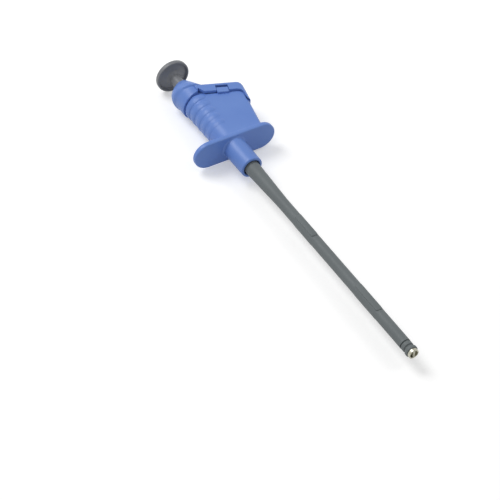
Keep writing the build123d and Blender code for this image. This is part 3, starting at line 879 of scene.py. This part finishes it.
@dataclass(frozen=True)
class BodyHousing:
    """Housing moulding: ribbed barrel, hollow wedge, finger guard and nozzle."""

    guard_face: float = 48.3
    guard_thickness: float = 2.2
    guard_half_length: float = 17.3
    guard_half_width: float = 5.75
    guard_offset: float = 0.6
    guard_straight: float = 11.0
    guard_round: float = 0.6
    flare: float = 0.22
    flare_length: float = 3.0
    nozzle_end: float = 61.4
    nozzle_root: float = 4.55
    nozzle_mouth: float = 4.4
    nozzle_bore: float = 3.4
    nozzle_flare: float = 0.8
    seam_along: float = 0.35
    seam_across: float = 0.25
    spigot_step: float = 0.6
    spigot_reach: float = 2.4
    wall: float = 1.2
    edge: float = 0.15
    rows: int = 26
    flare_rows: int = 6
    arc_steps: int = 20

    def shell(self) -> bpy.types.Mesh:
        """Lofts the barrel and wedge from the seam to the guard, with the spigot that enters the cover.

        Returns:
            A closed mesh.
        """
        guard_back = self.guard_face - self.guard_thickness
        flare_start = guard_back - self.flare_length

        def seam(lift: float) -> Rule:
            """Gives the rule of the housing's edge, raised by a lift and clear of the cover."""
            return SEAM.rule(False, lift, self.seam_along, self.seam_across, 0.0)

        def spigot(grow: float) -> Rule:
            """Gives the rule of the spigot's end for a ring with a growth."""
            return lambda y, inset: seam(0.0)(y, inset - grow) - self.spigot_reach

        inner = -self.spigot_step - self.wall
        corner = -0.3 * self.edge
        start = seam(-self.edge)
        stages: list[tuple[Rule, float]] = [
            (lambda y, inset: guard_back - 1.0, inner),
            (spigot(inner), inner),
            (spigot(-self.spigot_step), -self.spigot_step),
            (self.at_grow(seam(0.0), -self.spigot_step), -self.spigot_step),
            (self.at_grow(seam(0.0), -self.edge), -self.edge),
            (self.at_grow(seam(corner), corner), corner),
            (start, 0.0),
        ]
        stages += [
            (blended(start, lambda y, inset: flare_start, row / self.rows), 0.0)
            for row in range(1, self.rows + 1)
        ]
        rings = [FORM.ring(rule, grow) for rule, grow in stages]
        for step in range(1, self.flare_rows + 1):
            share = step / self.flare_rows
            x = flare_start + (self.flare_length + self.guard_thickness / 3) * share
            grow = self.flare * (1 - math.sqrt(1 - share**2))
            rings.append(FORM.ring(lambda y, inset: x, grow))
        return lofted("housing_shell", rings, Ends.STRIPS)

    def at_grow(self, rule: Rule, grow: float) -> Rule:
        """Measures the inset from the housing's own edge, whatever the ring's growth."""
        return lambda y, inset: rule(y, inset - grow)

    def guard_outline(self, inset: float) -> list[Pair]:
        """Outline of the finger guard, drawn in by an inset.

        Args:
            inset: Distance inward from the full outline.

        Returns:
            Points y and z, the upper half from the left end, then the lower half back.
        """
        reach = self.guard_half_length - self.guard_straight - inset
        width = self.guard_half_width - inset

        def arc(start: float, middle: float) -> list[Pair]:
            """Draws a quarter of the guard's round end, from a start angle about a middle."""
            turns = [start - math.pi / 2 * step / self.arc_steps for step in range(self.arc_steps + 1)]
            return [(middle + reach * math.cos(turn), width * math.sin(turn)) for turn in turns]

        straight = [(self.guard_straight * (2 * step / 8 - 1), width) for step in range(1, 8)]
        upper = arc(math.pi, -self.guard_straight) + straight + arc(math.pi / 2, self.guard_straight)
        return upper + [(y, -z) for y, z in reversed(upper)]

    def guard(self) -> bpy.types.Mesh:
        """Makes the flat finger guard with rounded edges.

        Returns:
            A closed mesh.
        """
        back = self.guard_face - self.guard_thickness
        places = []
        for step in reversed(range(6)):
            turn = math.pi / 2 * step / 5
            inset = self.guard_round * (1 - math.cos(turn))
            places.append((back + self.guard_round * (1 - math.sin(turn)), inset))
        places += [(2 * back + self.guard_thickness - x, inset) for x, inset in reversed(places)]
        offset = self.guard_offset
        rings = [[(x, offset + y, z) for y, z in self.guard_outline(inset)] for x, inset in places]
        return lofted("finger_guard", rings, Ends.STRIPS)

    def nozzle(self) -> bpy.types.Mesh:
        """Turns the nozzle, flared at its root and bored for the shaft.

        Returns:
            A closed mesh.
        """
        root = self.nozzle_root + self.nozzle_flare
        profile = rounded(
            [
                (self.guard_face - 1.0, self.nozzle_bore, 0),
                (self.guard_face - 1.0, root, 0),
                (self.guard_face, root, 0),
                (self.guard_face + 0.05, self.nozzle_root, 0.7),
                (self.nozzle_end, self.nozzle_mouth, 0.5),
                (self.nozzle_end, self.nozzle_bore, 0.15),
                (self.guard_face + 1.0, self.nozzle_bore, 0),
            ]
        )
        return turned("nozzle", profile)

    def bore_cutter(self) -> bpy.types.Mesh:
        """Makes the round bar that opens the guard between the handle's hollow and the nozzle.

        Returns:
            A closed mesh.
        """
        back = self.guard_face - self.guard_thickness - 2.0
        front = self.guard_face + 1.0
        bar = [(back, 0.0), (back, self.nozzle_bore), (front, self.nozzle_bore), (front, 0.0)]
        return turned("bore_cutter", bar, loop=False)

    def dress(self, finishes: Finishes) -> None:
        """Builds the housing and its grip rings and puts them on the handle.

        Args:
            finishes: The clip's finishes.
        """
        window = SnapWindow()
        parts = [cut(solid, [self.bore_cutter()]) for solid in (self.shell(), self.guard())]
        parts += [self.nozzle(), window.tongue(1), window.tongue(-1)]
        parts.append(GripRings().mesh(finishes[Slot.BLUE]))
        new_piece("handle_housing", parts, finishes, Body.HANDLE, Slot.BLUE, "body_housing")


@dataclass(frozen=True)
class GripRings:
    """Low rounded rings round the barrel, repeated along it and lower towards the guard."""

    count: int = 5
    first: float = 22.8
    pitch: float = 3.9
    width: float = 3.0
    height: float = 0.31
    segments: int = 96

    def tree(self, material: bpy.types.Material) -> bpy.types.NodeTree:
        """Builds the Geometry Nodes tree that repeats a ring along the barrel.

        Args:
            material: Finish of the rings.

        Returns:
            The tree, with one input for each size in metres.
        """
        sizes = ("Pitch", "First Radius", "Last Scale", "Width", "Height")
        kinds = {name: "Float" for name in sizes} | {"Count": "Int", "Start": "Vector"}
        tree, given = open_group("grip_rings", kinds)
        stride = add_node(tree, "ShaderNodeCombineXYZ", {"X": given["Pitch"]}).outputs["Vector"]
        row = {"Count": given["Count"], "Start Location": given["Start"], "Offset": stride}
        line = add_node(tree, "GeometryNodeMeshLine", row).outputs["Mesh"]
        around = {"Resolution": self.segments, "Radius": given["First Radius"]}
        path = add_node(tree, "GeometryNodeCurvePrimitiveCircle", around).outputs["Curve"]
        unit = {"Resolution": 20, "Radius": 0.5}
        section = add_node(tree, "GeometryNodeCurvePrimitiveCircle", unit).outputs["Curve"]
        doubled = {0: given["Height"], 1: 2.0}
        rise = add_node(tree, "ShaderNodeMath", doubled, operation="MULTIPLY").outputs["Value"]
        sides = {"X": rise, "Y": given["Width"], "Z": 1.0}
        size = add_node(tree, "ShaderNodeCombineXYZ", sides).outputs["Vector"]
        oval = {"Geometry": section, "Scale": size}
        flat = add_node(tree, "GeometryNodeTransform", oval).outputs["Geometry"]
        swept = {"Curve": path, "Profile Curve": flat}
        ring = add_node(tree, "GeometryNodeCurveToMesh", swept).outputs["Mesh"]
        laid = {"Geometry": ring, "Rotation": ACROSS}
        upright = add_node(tree, "GeometryNodeTransform", laid).outputs["Geometry"]
        index = add_node(tree, "GeometryNodeInputIndex").outputs["Index"]
        less_one = {0: given["Count"], 1: 1.0}
        last = add_node(tree, "ShaderNodeMath", less_one, operation="SUBTRACT").outputs["Value"]
        fall = {"Value": index, "From Max": last, "To Min": 1.0, "To Max": given["Last Scale"]}
        shrink = add_node(tree, "ShaderNodeMapRange", fall).outputs["Result"]
        narrowed = {"X": 1.0, "Y": shrink, "Z": shrink}
        scale = add_node(tree, "ShaderNodeCombineXYZ", narrowed).outputs["Vector"]
        copies = {"Points": line, "Instance": upright, "Scale": scale}
        rings = add_node(tree, "GeometryNodeInstanceOnPoints", copies).outputs["Instances"]
        close_group(tree, rings, material)
        return tree

    def mesh(self, material: bpy.types.Material) -> bpy.types.Mesh:
        """Makes the rings as one plain mesh.

        Args:
            material: Finish of the rings.

        Returns:
            The mesh in metres.
        """
        last = self.first + (self.count - 1) * self.pitch
        values = {
            "Pitch": self.pitch * MM,
            "First Radius": FORM.barrel(self.first) * MM,
            "Last Scale": (FORM.barrel(last) - self.height / 2) / FORM.barrel(self.first),
            "Width": self.width * MM,
            "Height": self.height * MM,
            "Count": self.count,
            "Start": ORIGIN + Vector((self.first * MM, 0.0, 0.0)),
        }
        return grown_mesh("grip_rings", self.tree(material), values)


def open_group(name: str, inputs: dict[str, str]) -> tuple[bpy.types.NodeTree, Any]:
    """Starts a Geometry Nodes tree.

    Args:
        name: Name of the tree.
        inputs: Kind of socket for each input's name.

    Returns:
        The tree and the sockets that give its inputs.
    """
    tree = bpy.data.node_groups.new(name, "GeometryNodeTree")
    tree.interface.new_socket("Geometry", in_out="OUTPUT", socket_type="NodeSocketGeometry")
    for key, kind in inputs.items():
        tree.interface.new_socket(key, in_out="INPUT", socket_type=f"NodeSocket{kind}")
    return tree, add_node(tree, "NodeGroupInput").outputs


def close_group(tree: bpy.types.NodeTree, shape: bpy.types.NodeSocket, material: bpy.types.Material) -> None:
    """Makes the copies real, gives them their finish and ends the tree.

    Args:
        tree: Tree to end.
        shape: Socket that gives its geometry.
        material: Finish of the geometry.
    """
    real = add_node(tree, "GeometryNodeRealizeInstances", {"Geometry": shape}).outputs["Geometry"]
    finish = {"Geometry": real, "Material": material}
    dressed = add_node(tree, "GeometryNodeSetMaterial", finish).outputs["Geometry"]
    add_node(tree, "NodeGroupOutput", {"Geometry": dressed})


def grown_mesh(name: str, tree: bpy.types.NodeTree, values: dict[str, Any]) -> bpy.types.Mesh:
    """Runs a Geometry Nodes tree once and keeps its mesh.

    Args:
        name: Name of the mesh.
        tree: Tree to run.
        values: Value of each named input.

    Returns:
        The mesh, with no modifier behind it.
    """
    holder = placed(name, bpy.data.meshes.new(name))
    modifier = holder.modifiers.new(name, "NODES")
    modifier.node_group = tree
    sockets = {s.name: s.identifier for s in tree.interface.items_tree if s.in_out == "INPUT"}
    for key, value in values.items():
        modifier[sockets[key]] = value
    mesh = evaluated_mesh(holder)
    bpy.data.objects.remove(holder)
    return mesh


@dataclass(frozen=True)
class CoverCap:
    """Cover moulding: oblique dome with the stem's neck, collar, and slanted lid with its skirt."""

    top: float = 8.4
    neck_radius: float = 3.0
    neck_depth: float = 5.0
    stem_bore: float = 2.4
    stop_pocket: float = 3.6
    hidden_rim: float = 19.6
    hidden_side: float = 0.6
    pocket_end: float = 16.0
    skin_start: float = 16.6
    shoulder: tuple[Pair, ...] = (
        (0.0, 3.1), (0.2, 4.45), (0.49, 6.02), (0.75, 6.72), (0.9, 6.85), (1.0, 6.85)
    )
    slope: tuple[Pair, ...] = (
        (0.0, 3.1), (0.1, 3.35), (0.29, 3.8), (0.57, 4.85), (0.8, 5.95), (0.93, 6.75), (1.0, 6.85)
    )
    slope_focus: float = 1.5
    columns: int = 112
    proud: float = 0.8
    inner_grow: float = -0.5
    lid_wall: float = 1.2
    lid_edge_round: float = 0.8
    rim_round: float = 0.15
    socket_bore: float = 2.65
    socket_tilt: float = math.radians(11.79)
    socket_mouth: Point = (20.487, 12.503, 0.0)

    def dome_radius(self, share: float, turn: float) -> float:
        """Finds the dome's radius between its round shoulder and the slope of its lid side.

        Args:
            share: Share of the dome's length from its top.
            turn: Angle round the axis, 0 on the lid's side.

        Returns:
            The radius.
        """
        toward_lid = ((1 + math.cos(turn)) / 2) ** self.slope_focus
        round_side = smooth_curve(self.shoulder, share)
        lid_side = smooth_curve(self.slope, share)
        return round_side + (lid_side - round_side) * toward_lid

    def dome(self) -> bpy.types.Mesh:
        """Lofts the dome and collar as one hollow shell whose crease lies in the slanted lid's plane.

        Returns:
            A closed mesh.
        """
        turns = [2 * math.pi * i / self.columns for i in range(self.columns)]
        rim = SEAM.rule(True)

        def collar_ring(grow: float, share: float, lift: float) -> list[Point]:
            """Finds a ring of the collar between its lower rim and the lid's plane.

            Args:
                grow: Distance by which the barrel is grown outward.
                share: Share of the way from the rim to the lid's plane.
                lift: Distance by which the rim is raised.

            Returns:
                The ring's points.
            """
            points = []
            for turn in turns:
                x = SEAM.lid
                for _ in range(5):
                    radius = COVER_FORM.barrel(x) + grow
                    y = radius * math.cos(turn)
                    low = rim(y, FAR_INSIDE)
                    low = (min(low, self.hidden_rim) if y > self.hidden_side else low) - lift
                    x = low + (SEAM.slant(0.0, y) - low) * share
                radius = COVER_FORM.barrel(x) + grow
                points.append((x, radius * math.cos(turn), radius * math.sin(turn)))
            return points

        def dome_ring(share: float) -> list[Point]:
            """Finds a ring of the dome.

            Args:
                share: Share of the way from the dome's top to its base.

            Returns:
                The ring's points.
            """
            points = []
            for turn in turns:
                base = SEAM.slant(0.0, self.shoulder[-1][1] * math.cos(turn))
                radius = self.dome_radius(share, turn)
                x = self.top + (base - self.top) * share
                points.append((x, radius * math.cos(turn), radius * math.sin(turn)))
            return points

        def round_ring(x: float, radius: float) -> list[Point]:
            """Finds a round ring about the axis at a station."""
            return [(x, radius * math.cos(t), radius * math.sin(t)) for t in turns]

        edge = self.rim_round
        steps = 34
        rings = [collar_ring(self.inner_grow - COVER_FORM.swell, 0.0, 0.0)]
        rings.append(collar_ring(self.proud - edge, 0.0, 0.0))
        rings.append(collar_ring(self.proud - 0.3 * edge, 0.0, 0.3 * edge))
        rings += [collar_ring(self.proud, step / 8, edge) for step in range(8)]
        rings += [dome_ring(1 - step / steps) for step in range(steps)]
        hollow = (
            (self.top + 0.05, self.neck_radius - 0.1),
            (self.top, self.neck_radius - 0.25),
            (self.top, self.stem_bore + 0.1),
            (self.top + 0.1, self.stem_bore),
            (self.top + self.neck_depth, self.stem_bore),
            (self.top + self.neck_depth, self.stop_pocket),
            (self.pocket_end, self.stop_pocket),
            (self.skin_start, FORM.barrel(self.skin_start) + self.inner_grow),
        )
        rings += [round_ring(x, radius) for x, radius in hollow]
        return lofted("cover_dome", rings, Ends.LOOP)

    def lid(self) -> bpy.types.Mesh:
        """Lofts the slanted lid with its skirt, cuts the windows and opens the socket's mouth.

        Returns:
            A closed mesh.
        """
        rim = SEAM.rule(True)

        def rim_at(grow: float, lift: float) -> Rule:
            """Gives the rule of the skirt's rim for a ring with a growth, raised by a lift."""
            return lambda y, inset: rim(y, inset + self.proud - grow) - lift

        def ring(rule: Rule, grow: float) -> list[Point]:
            """Finds a ring round the wedge that leaves the barrel out."""
            return COVER_FORM.ring(rule, grow, with_barrel=False)

        edge = self.lid_edge_round
        corner = 0.3 * self.rim_round
        rings = [ring(SEAM.lid_station(self.lid_wall), self.inner_grow)]
        for inset, lift in ((self.proud - self.inner_grow, 0.0), (self.rim_round, 0.0), (corner, corner)):
            grow = self.proud - inset
            rings.append(ring(rim_at(grow, lift), grow))
        low = rim_at(self.proud, self.rim_round)
        high = SEAM.lid_station(edge)
        rows = 10
        rings += [ring(blended(low, high, row / rows), self.proud) for row in range(rows)]
        steps = 7
        for step in range(steps + 1):
            turn = math.pi / 2 * step / steps
            inset_by = edge * (1 - math.cos(turn))
            depth = edge * (1 - math.sin(turn))
            rings.append(ring(SEAM.lid_station(depth), self.proud - inset_by))
        return cut(lofted("lid", rings, Ends.STRIPS), [SnapWindow().cutter(), self.mouth_cutter()])

    def mouth_cutter(self) -> bpy.types.Mesh:
        """Makes the round bar that opens the lid over the plug socket.

        Returns:
            A closed mesh.
        """
        half = 6.0
        bar = Draft()
        bar.lathe([(-half, 0.0), (-half, self.socket_bore), (half, self.socket_bore), (half, 0.0)], 72)
        tilt = Matrix.Rotation(-self.socket_tilt, 4, "Z")
        bar.points = [tuple(tilt @ Vector(p) + Vector(self.socket_mouth)) for p in bar.points]
        return bar.mesh("mouth_cutter")

    def dress(self, finishes: Finishes) -> None:
        """Builds the cover and puts it on the handle."""
        parts = [self.dome(), self.lid()]
        new_piece("handle_cover", parts, finishes, Body.HANDLE, Slot.BLUE, "cover_cap")


def smooth_curve(points: Sequence[Pair], at: float) -> float:
    """Reads a smooth curve through given points.

    Args:
        points: Rising place and value of each point.
        at: Place to read.

    Returns:
        The value on a cubic curve whose slopes are taken from the neighbouring points.
    """
    last = len(points) - 1
    i = max(k for k in range(last) if points[k][0] <= at or k == 0)

    def slope(k: int) -> float:
        """Finds the curve's slope at a point from the points beside it.

        Args:
            k: Number of the point.

        Returns:
            The slope.
        """
        low = points[max(k - 1, 0)]
        high = points[min(k + 1, last)]
        return (high[1] - low[1]) / (high[0] - low[0])

    step = points[i + 1][0] - points[i][0]
    t = (at - points[i][0]) / step
    start, end = points[i][1], points[i + 1][1]
    first, second = slope(i) * step, slope(i + 1) * step
    return (
        (2 * t**3 - 3 * t**2 + 1) * start
        + (t**3 - 2 * t**2 + t) * first
        + (3 * t**2 - 2 * t**3) * end
        + (t**3 - t**2) * second
    )


@dataclass(frozen=True)
class ThumbButton:
    """Grey moulding: dished thumb disc, stem with a flared root, and the stop flange inside the cover."""

    disc_radius: float = 6.85
    thickness: float = 2.0
    rim_width: float = 0.75
    under_dish: float = 0.7
    under_rise: float = 0.9
    thumb_dish: float = 0.5
    stem: float = 2.3
    flare: float = 3.2
    neck_end: float = 13.4
    stop_radius: float = 3.3
    stop_end: float = 14.8
    tail_end: float = 18.8
    tail_radius: float = 1.9

    def dress(self, finishes: Finishes) -> None:
        """Turns the button and puts it on the plunger.

        Args:
            finishes: The clip's finishes.
        """
        rim_inner = self.disc_radius - self.rim_width
        dish = self.thickness - self.under_dish
        profile = [(self.thumb_dish * (1 - (k / 12) ** 2), rim_inner * k / 12) for k in range(12)]
        profile += rounded(
            [
                (0.0, rim_inner, 0),
                (0.0, self.disc_radius, 0.6),
                (self.thickness, self.disc_radius, 0.35),
                (self.thickness, rim_inner, 0.2),
                (dish, rim_inner - 0.15, 0.3),
                (dish + self.under_rise, self.flare, 0.8),
                (dish + self.under_rise + self.flare - self.stem, self.stem, 0.9),
                (self.neck_end, self.stem, 0),
                (self.neck_end, self.stop_radius, 0.15),
                (self.stop_end, self.stop_radius, 0.15),
                (self.stop_end, self.tail_radius, 0),
                (self.tail_end, self.tail_radius, 0.2),
                (self.tail_end, 0.95, 0),
                (self.tail_end, 0.0, 0),
            ],
            steps=7,
        )
        button = turned("button", profile, 128, loop=False)
        new_piece("thumb_button_moulding", [button], finishes, Body.PLUNGER, Slot.GREY, "thumb_button")


@dataclass(frozen=True)
class FlexibleShaft:
    """Extruded grey sheath, thick where it leaves the nozzle, with low bare pads on its broad sides."""

    back: float = 50.8
    nozzle_end: float = 61.4
    tip_back: float = 163.2
    root_radius: float = 2.95
    radius: float = 2.2
    taper: float = 21.6
    bore: float = 1.23
    pads: tuple[Pair, ...] = ((31.6, 12.0), (71.6, 14.0))
    pad_half_width: float = 1.25
    pad_proud: float = 0.22
    pad_round: float = 0.6

    def sheath(self) -> bpy.types.Mesh:
        """Turns the sheath.

        Returns:
            A closed mesh.
        """
        profile = [(self.back, self.bore), (self.back, self.root_radius), (self.nozzle_end, self.root_radius)]
        for step in range(1, 13):
            share = step / 12
            x = self.nozzle_end + self.taper * share
            profile.append((x, self.root_radius + (self.radius - self.root_radius) * share))
        rows = 24
        start = self.nozzle_end + self.taper
        profile += [(start + (self.tip_back - start) * k / rows, self.radius) for k in range(1, rows + 1)]
        profile.append((self.tip_back, self.bore))
        return turned("sheath", profile, 64)

    def pad(self, station: float, length: float, side: int) -> bpy.types.Mesh:
        """Makes one low pad with rounded corners and a soft edge.

        Args:
            station: Distance of the pad's near end past the nozzle.
            length: Length along the shaft.
            side: 1 for the upper broad side, -1 for the lower.

        Returns:
            A closed mesh.
        """
        top = self.radius + self.pad_proud
        middle = self.nozzle_end + station + length / 2
        rings = []
        for inset, height in ((0.0, self.radius - 0.9), (0.0, top - 0.1), (0.03, top - 0.03), (0.1, top)):
            sides = (length / 2 - inset, self.pad_half_width - inset)
            outline = rounded_rectangle(*sides, self.pad_round - inset / 2)
            rings.append([(middle + x, y, side * height) for x, y in outline])
        return lofted("pad", rings, Ends.FACES)

    def dress(self, finishes: Finishes) -> None:
        """Builds the sheath with its pads and puts it on the handle.

        Args:
            finishes: The clip's finishes.
        """
        parts = [self.sheath()]
        for station, length in self.pads:
            parts += [self.pad(station, length, side) for side in (1, -1)]
        new_piece("flexible_shaft", parts, finishes, Body.HANDLE, Slot.SHAFT, "shaft_sheath")


def rounded_rectangle(half_x: float, half_y: float, radius: float, steps: int = 6) -> list[Pair]:
    """Draws a rectangle with rounded corners, counter-clockwise.

    Args:
        half_x: Half of its length.
        half_y: Half of its width.
        radius: Radius of its corners.
        steps: Runs in each corner.

    Returns:
        The outline's points.
    """
    points = []
    for corner, (sx, sy) in enumerate(((1, 1), (-1, 1), (-1, -1), (1, -1))):
        for step in range(steps + 1):
            turn = math.pi / 2 * (corner + step / steps)
            x = sx * (half_x - radius) + radius * math.cos(turn)
            points.append((x, sy * (half_y - radius) + radius * math.sin(turn)))
    return points


@dataclass(frozen=True)
class ProbeTip:
    """Grooved tip of the shaft, which holds the metal bush."""

    tip_back: float = 163.2
    tip_face: float = 167.5
    ring_radius: float = 2.14
    groove_radius: float = 1.7
    end_radius: float = 2.36
    second_groove: float = 2.2
    bore: float = 1.68

    def dress(self, finishes: Finishes) -> None:
        """Turns the tip and puts it on the handle.

        Args:
            finishes: The clip's finishes.
        """
        start = self.tip_back
        second = start + self.second_groove
        profile = rounded(
            [
                (start, self.bore, 0),
                (start, self.groove_radius, 0),
                (start + 0.25, self.groove_radius, 0.08),
                (start + 0.5, self.ring_radius, 0.2),
                (second - 0.25, self.ring_radius, 0.2),
                (second, self.groove_radius, 0.08),
                (second + 0.25, self.groove_radius, 0.08),
                (second + 1.0, self.end_radius, 0.2),
                (self.tip_face, self.end_radius, 0.3),
                (self.tip_face, self.bore, 0),
            ]
        )
        tip = turned("tip", profile, 72)
        new_piece("tip_moulding", [tip], finishes, Body.HANDLE, Slot.SHAFT, "tip_sleeve")


@dataclass(frozen=True)
class ReturnSpring:
    """Coil of spring steel between the button's stop and its seat, shorter when the thumb pushes."""

    back: float = 14.8
    front: float = 39.3
    mean_radius: float = 2.85
    wire_radius: float = 0.28
    turns: int = 8
    travel: float = 6.0

    def tree(self, material: bpy.types.Material) -> bpy.types.NodeTree:
        """Builds the Geometry Nodes tree that winds the wire.

        Args:
            material: Finish of the wire.

        Returns:
            The tree, with one input for each size in metres.
        """
        sizes = ("Turns", "Mean Radius", "Wire Radius", "Height")
        tree, given = open_group("coil", {name: "Float" for name in sizes} | {"Start": "Vector"})
        coil = {"Resolution": 48, "Rotations": given["Turns"], "Height": given["Height"]}
        coil |= {end: given["Mean Radius"] for end in ("Start Radius", "End Radius")}
        spiral = add_node(tree, "GeometryNodeCurveSpiral", coil).outputs["Curve"]
        around = {"Resolution": 16, "Radius": given["Wire Radius"]}
        section = add_node(tree, "GeometryNodeCurvePrimitiveCircle", around).outputs["Curve"]
        swept = {"Curve": spiral, "Profile Curve": section, "Fill Caps": True}
        wire = add_node(tree, "GeometryNodeCurveToMesh", swept).outputs["Mesh"]
        laid = {"Geometry": wire, "Translation": given["Start"], "Rotation": ACROSS}
        close_group(tree, add_node(tree, "GeometryNodeTransform", laid).outputs["Geometry"], material)
        return tree

    def dress(self, finishes: Finishes) -> None:
        """Winds the spring and puts it on the handle.

        Args:
            finishes: The clip's finishes.
        """
        length = self.front - self.back
        values = {
            "Turns": float(self.turns),
            "Mean Radius": self.mean_radius * MM,
            "Wire Radius": self.wire_radius * MM,
            "Height": (length - 2 * self.wire_radius) * MM,
            "Start": ORIGIN + Vector(((self.back + self.wire_radius) * MM, 0.0, 0.0)),
        }
        mesh = grown_mesh("coil", self.tree(finishes[Slot.STEEL]), values)
        coil = new_piece("coil_spring", [mesh], finishes, Body.HANDLE, Slot.STEEL, "return_spring")
        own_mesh(coil)


class PackedMetal:
    """Metal parts that keep the solids' shape: the socket, bush and jaws, and what is hidden inside."""

    NODES: dict[Slot, tuple[str, ...]] = {
        Slot.BRASS: (
            "wire_crimp",
            "jaw_carrier",
            "spring_seat",
            "contact_strip",
            "contact_sleeve",
            "wiper_ring",
            "shaft_ferrule",
            "tip_bush",
        ),
        Slot.STEEL: ("plunger_rod", "pull_wire", "jaw_pin", "guide_liner"),
        Slot.SOCKET: ("plug_socket",),
        Slot.JAW: ("jaw_left", "jaw_right"),
    }

    def dress(self, finishes: Finishes) -> None:
        """Gives each part its metal.

        Args:
            finishes: The clip's finishes.
        """
        for slot, names in self.NODES.items():
            for name in names:
                finishes.dress_node(name, slot)


@dataclass(frozen=True)
class Lamp:
    """Square soft lamp that hangs in a direction from the middle of the floor and faces it."""

    name: str
    direction: Point
    distance_m: float
    size_m: float
    watts: float

    def hang(self) -> None:
        """Adds the lamp to the scene."""
        data = bpy.data.lights.new(self.name, "AREA")
        data.shape = "SQUARE"
        data.size = self.size_m
        data.energy = self.watts
        lamp = placed(self.name, data)
        direction = Vector(self.direction).normalized()
        lamp.location = direction * self.distance_m
        lamp.rotation_euler = direction.to_track_quat("Z", "Y").to_euler()


@dataclass(frozen=True)
class Studio:
    """Pale floor, soft overhead light and the camera, whose place is about the clip's own axis."""

    camera_place: Point = (549.321, -314.876, 525.573)
    camera_right: Point = (0.51234, 0.85799, 0.03686)
    camera_up: Point = (-0.61434, 0.33618, 0.71384)
    camera_back: Point = (0.60008, -0.38838, 0.69934)
    lens_mm: float = 152.14
    floor_half_m: float = 1.6
    floor_lift: float = 0.36
    lamps: tuple[Lamp, ...] = (
        Lamp("key", (-0.5, -0.3, 0.8), 0.8, 0.4, 3.0),
        Lamp("fill", (0.35, 0.6, 0.75), 0.8, 0.2, 0.5),
    )
    world_strength: float = 0.47

    def camera(self) -> None:
        """Places the camera at the photograph's angle."""
        data = bpy.data.cameras.new("camera")
        data.lens = self.lens_mm
        data.sensor_width = 36.0
        data.clip_start = 0.01
        camera = placed("camera", data)
        turn = Matrix((self.camera_right, self.camera_up, self.camera_back)).transposed()
        camera.matrix_world = Matrix.Translation(ORIGIN + Vector(self.camera_place) * MM) @ turn.to_4x4()
        bpy.context.scene.camera = camera

    def floor(self) -> None:
        """Lays the pale floor, which looks white to the camera and keeps the clip's shadow."""
        half = self.floor_half_m
        mesh = bpy.data.meshes.new("floor")
        corners = [(x * half, y * half, 0) for x, y in ((-1, -1), (1, -1), (1, 1), (-1, 1))]
        mesh.from_pydata(corners, [], [(0, 1, 2, 3)])
        floor = placed("floor", mesh)
        material = bpy.data.materials.new("white_paper")
        material.use_nodes = True
        tree = material.node_tree
        tree.nodes.clear()
        seen = self.seen_share(tree)
        paper = add_node(tree, "ShaderNodeBsdfDiffuse", {"Color": linear("#E8E8E8")}).outputs["BSDF"]
        lifted = {0: seen, 1: self.floor_lift}
        strength = add_node(tree, "ShaderNodeMath", lifted, operation="MULTIPLY").outputs["Value"]
        glow = {"Color": WHITE, "Strength": strength}
        lift = add_node(tree, "ShaderNodeEmission", glow).outputs["Emission"]
        both = add_node(tree, "ShaderNodeAddShader", {0: paper, 1: lift}).outputs["Shader"]
        add_node(tree, "ShaderNodeOutputMaterial", {"Surface": both})
        mesh.materials.append(material)

    def seen_share(self, tree: bpy.types.NodeTree) -> bpy.types.NodeSocket:
        """Tells what the camera sees, straight or in a reflection, from the light that falls on things.

        Args:
            tree: Node tree to add to.

        Returns:
            A socket that gives 1 for what is seen and 0 for light.
        """
        path = add_node(tree, "ShaderNodeLightPath").outputs
        seen = path["Is Camera Ray"]
        for kind in ("Is Glossy Ray", "Is Transmission Ray"):
            either = {0: seen, 1: path[kind]}
            seen = add_node(tree, "ShaderNodeMath", either, operation="MAXIMUM").outputs["Value"]
        return seen

    def light(self) -> None:
        """Hangs the soft lamps and lights the surroundings evenly."""
        world = bpy.data.worlds.new("studio")
        bpy.context.scene.world = world
        world.use_nodes = True
        tree = world.node_tree
        tree.nodes.clear()
        strength = add_node(
            tree,
            "ShaderNodeMapRange",
            {"Value": self.seen_share(tree), "To Min": self.world_strength, "To Max": 1.0},
        ).outputs["Result"]
        glow = {"Color": WHITE, "Strength": strength}
        sky = add_node(tree, "ShaderNodeBackground", glow).outputs["Background"]
        add_node(tree, "ShaderNodeOutputWorld", {"Surface": sky})
        for lamp in self.lamps:
            lamp.hang()

    def build(self) -> None:
        """Sets up the floor, the light, the camera and the plain view transform."""
        self.floor()
        self.light()
        self.camera()
        bpy.context.scene.view_settings.view_transform = "Standard"
        LOG.info("studio is set")


def main() -> None:
    """Builds the clip's pieces in order, from the thumb to the jaws, and then the studio."""
    logging.basicConfig(level=logging.INFO, format="%(name)s: %(message)s")
    finishes = Finishes()
    mouldings = (ThumbButton(), CoverCap(), BodyHousing(), FlexibleShaft(), ProbeTip())
    for part in (*mouldings, ReturnSpring(), PackedMetal()):
        part.dress(finishes)
    Studio().build()


if __name__ == "__main__":
    main()
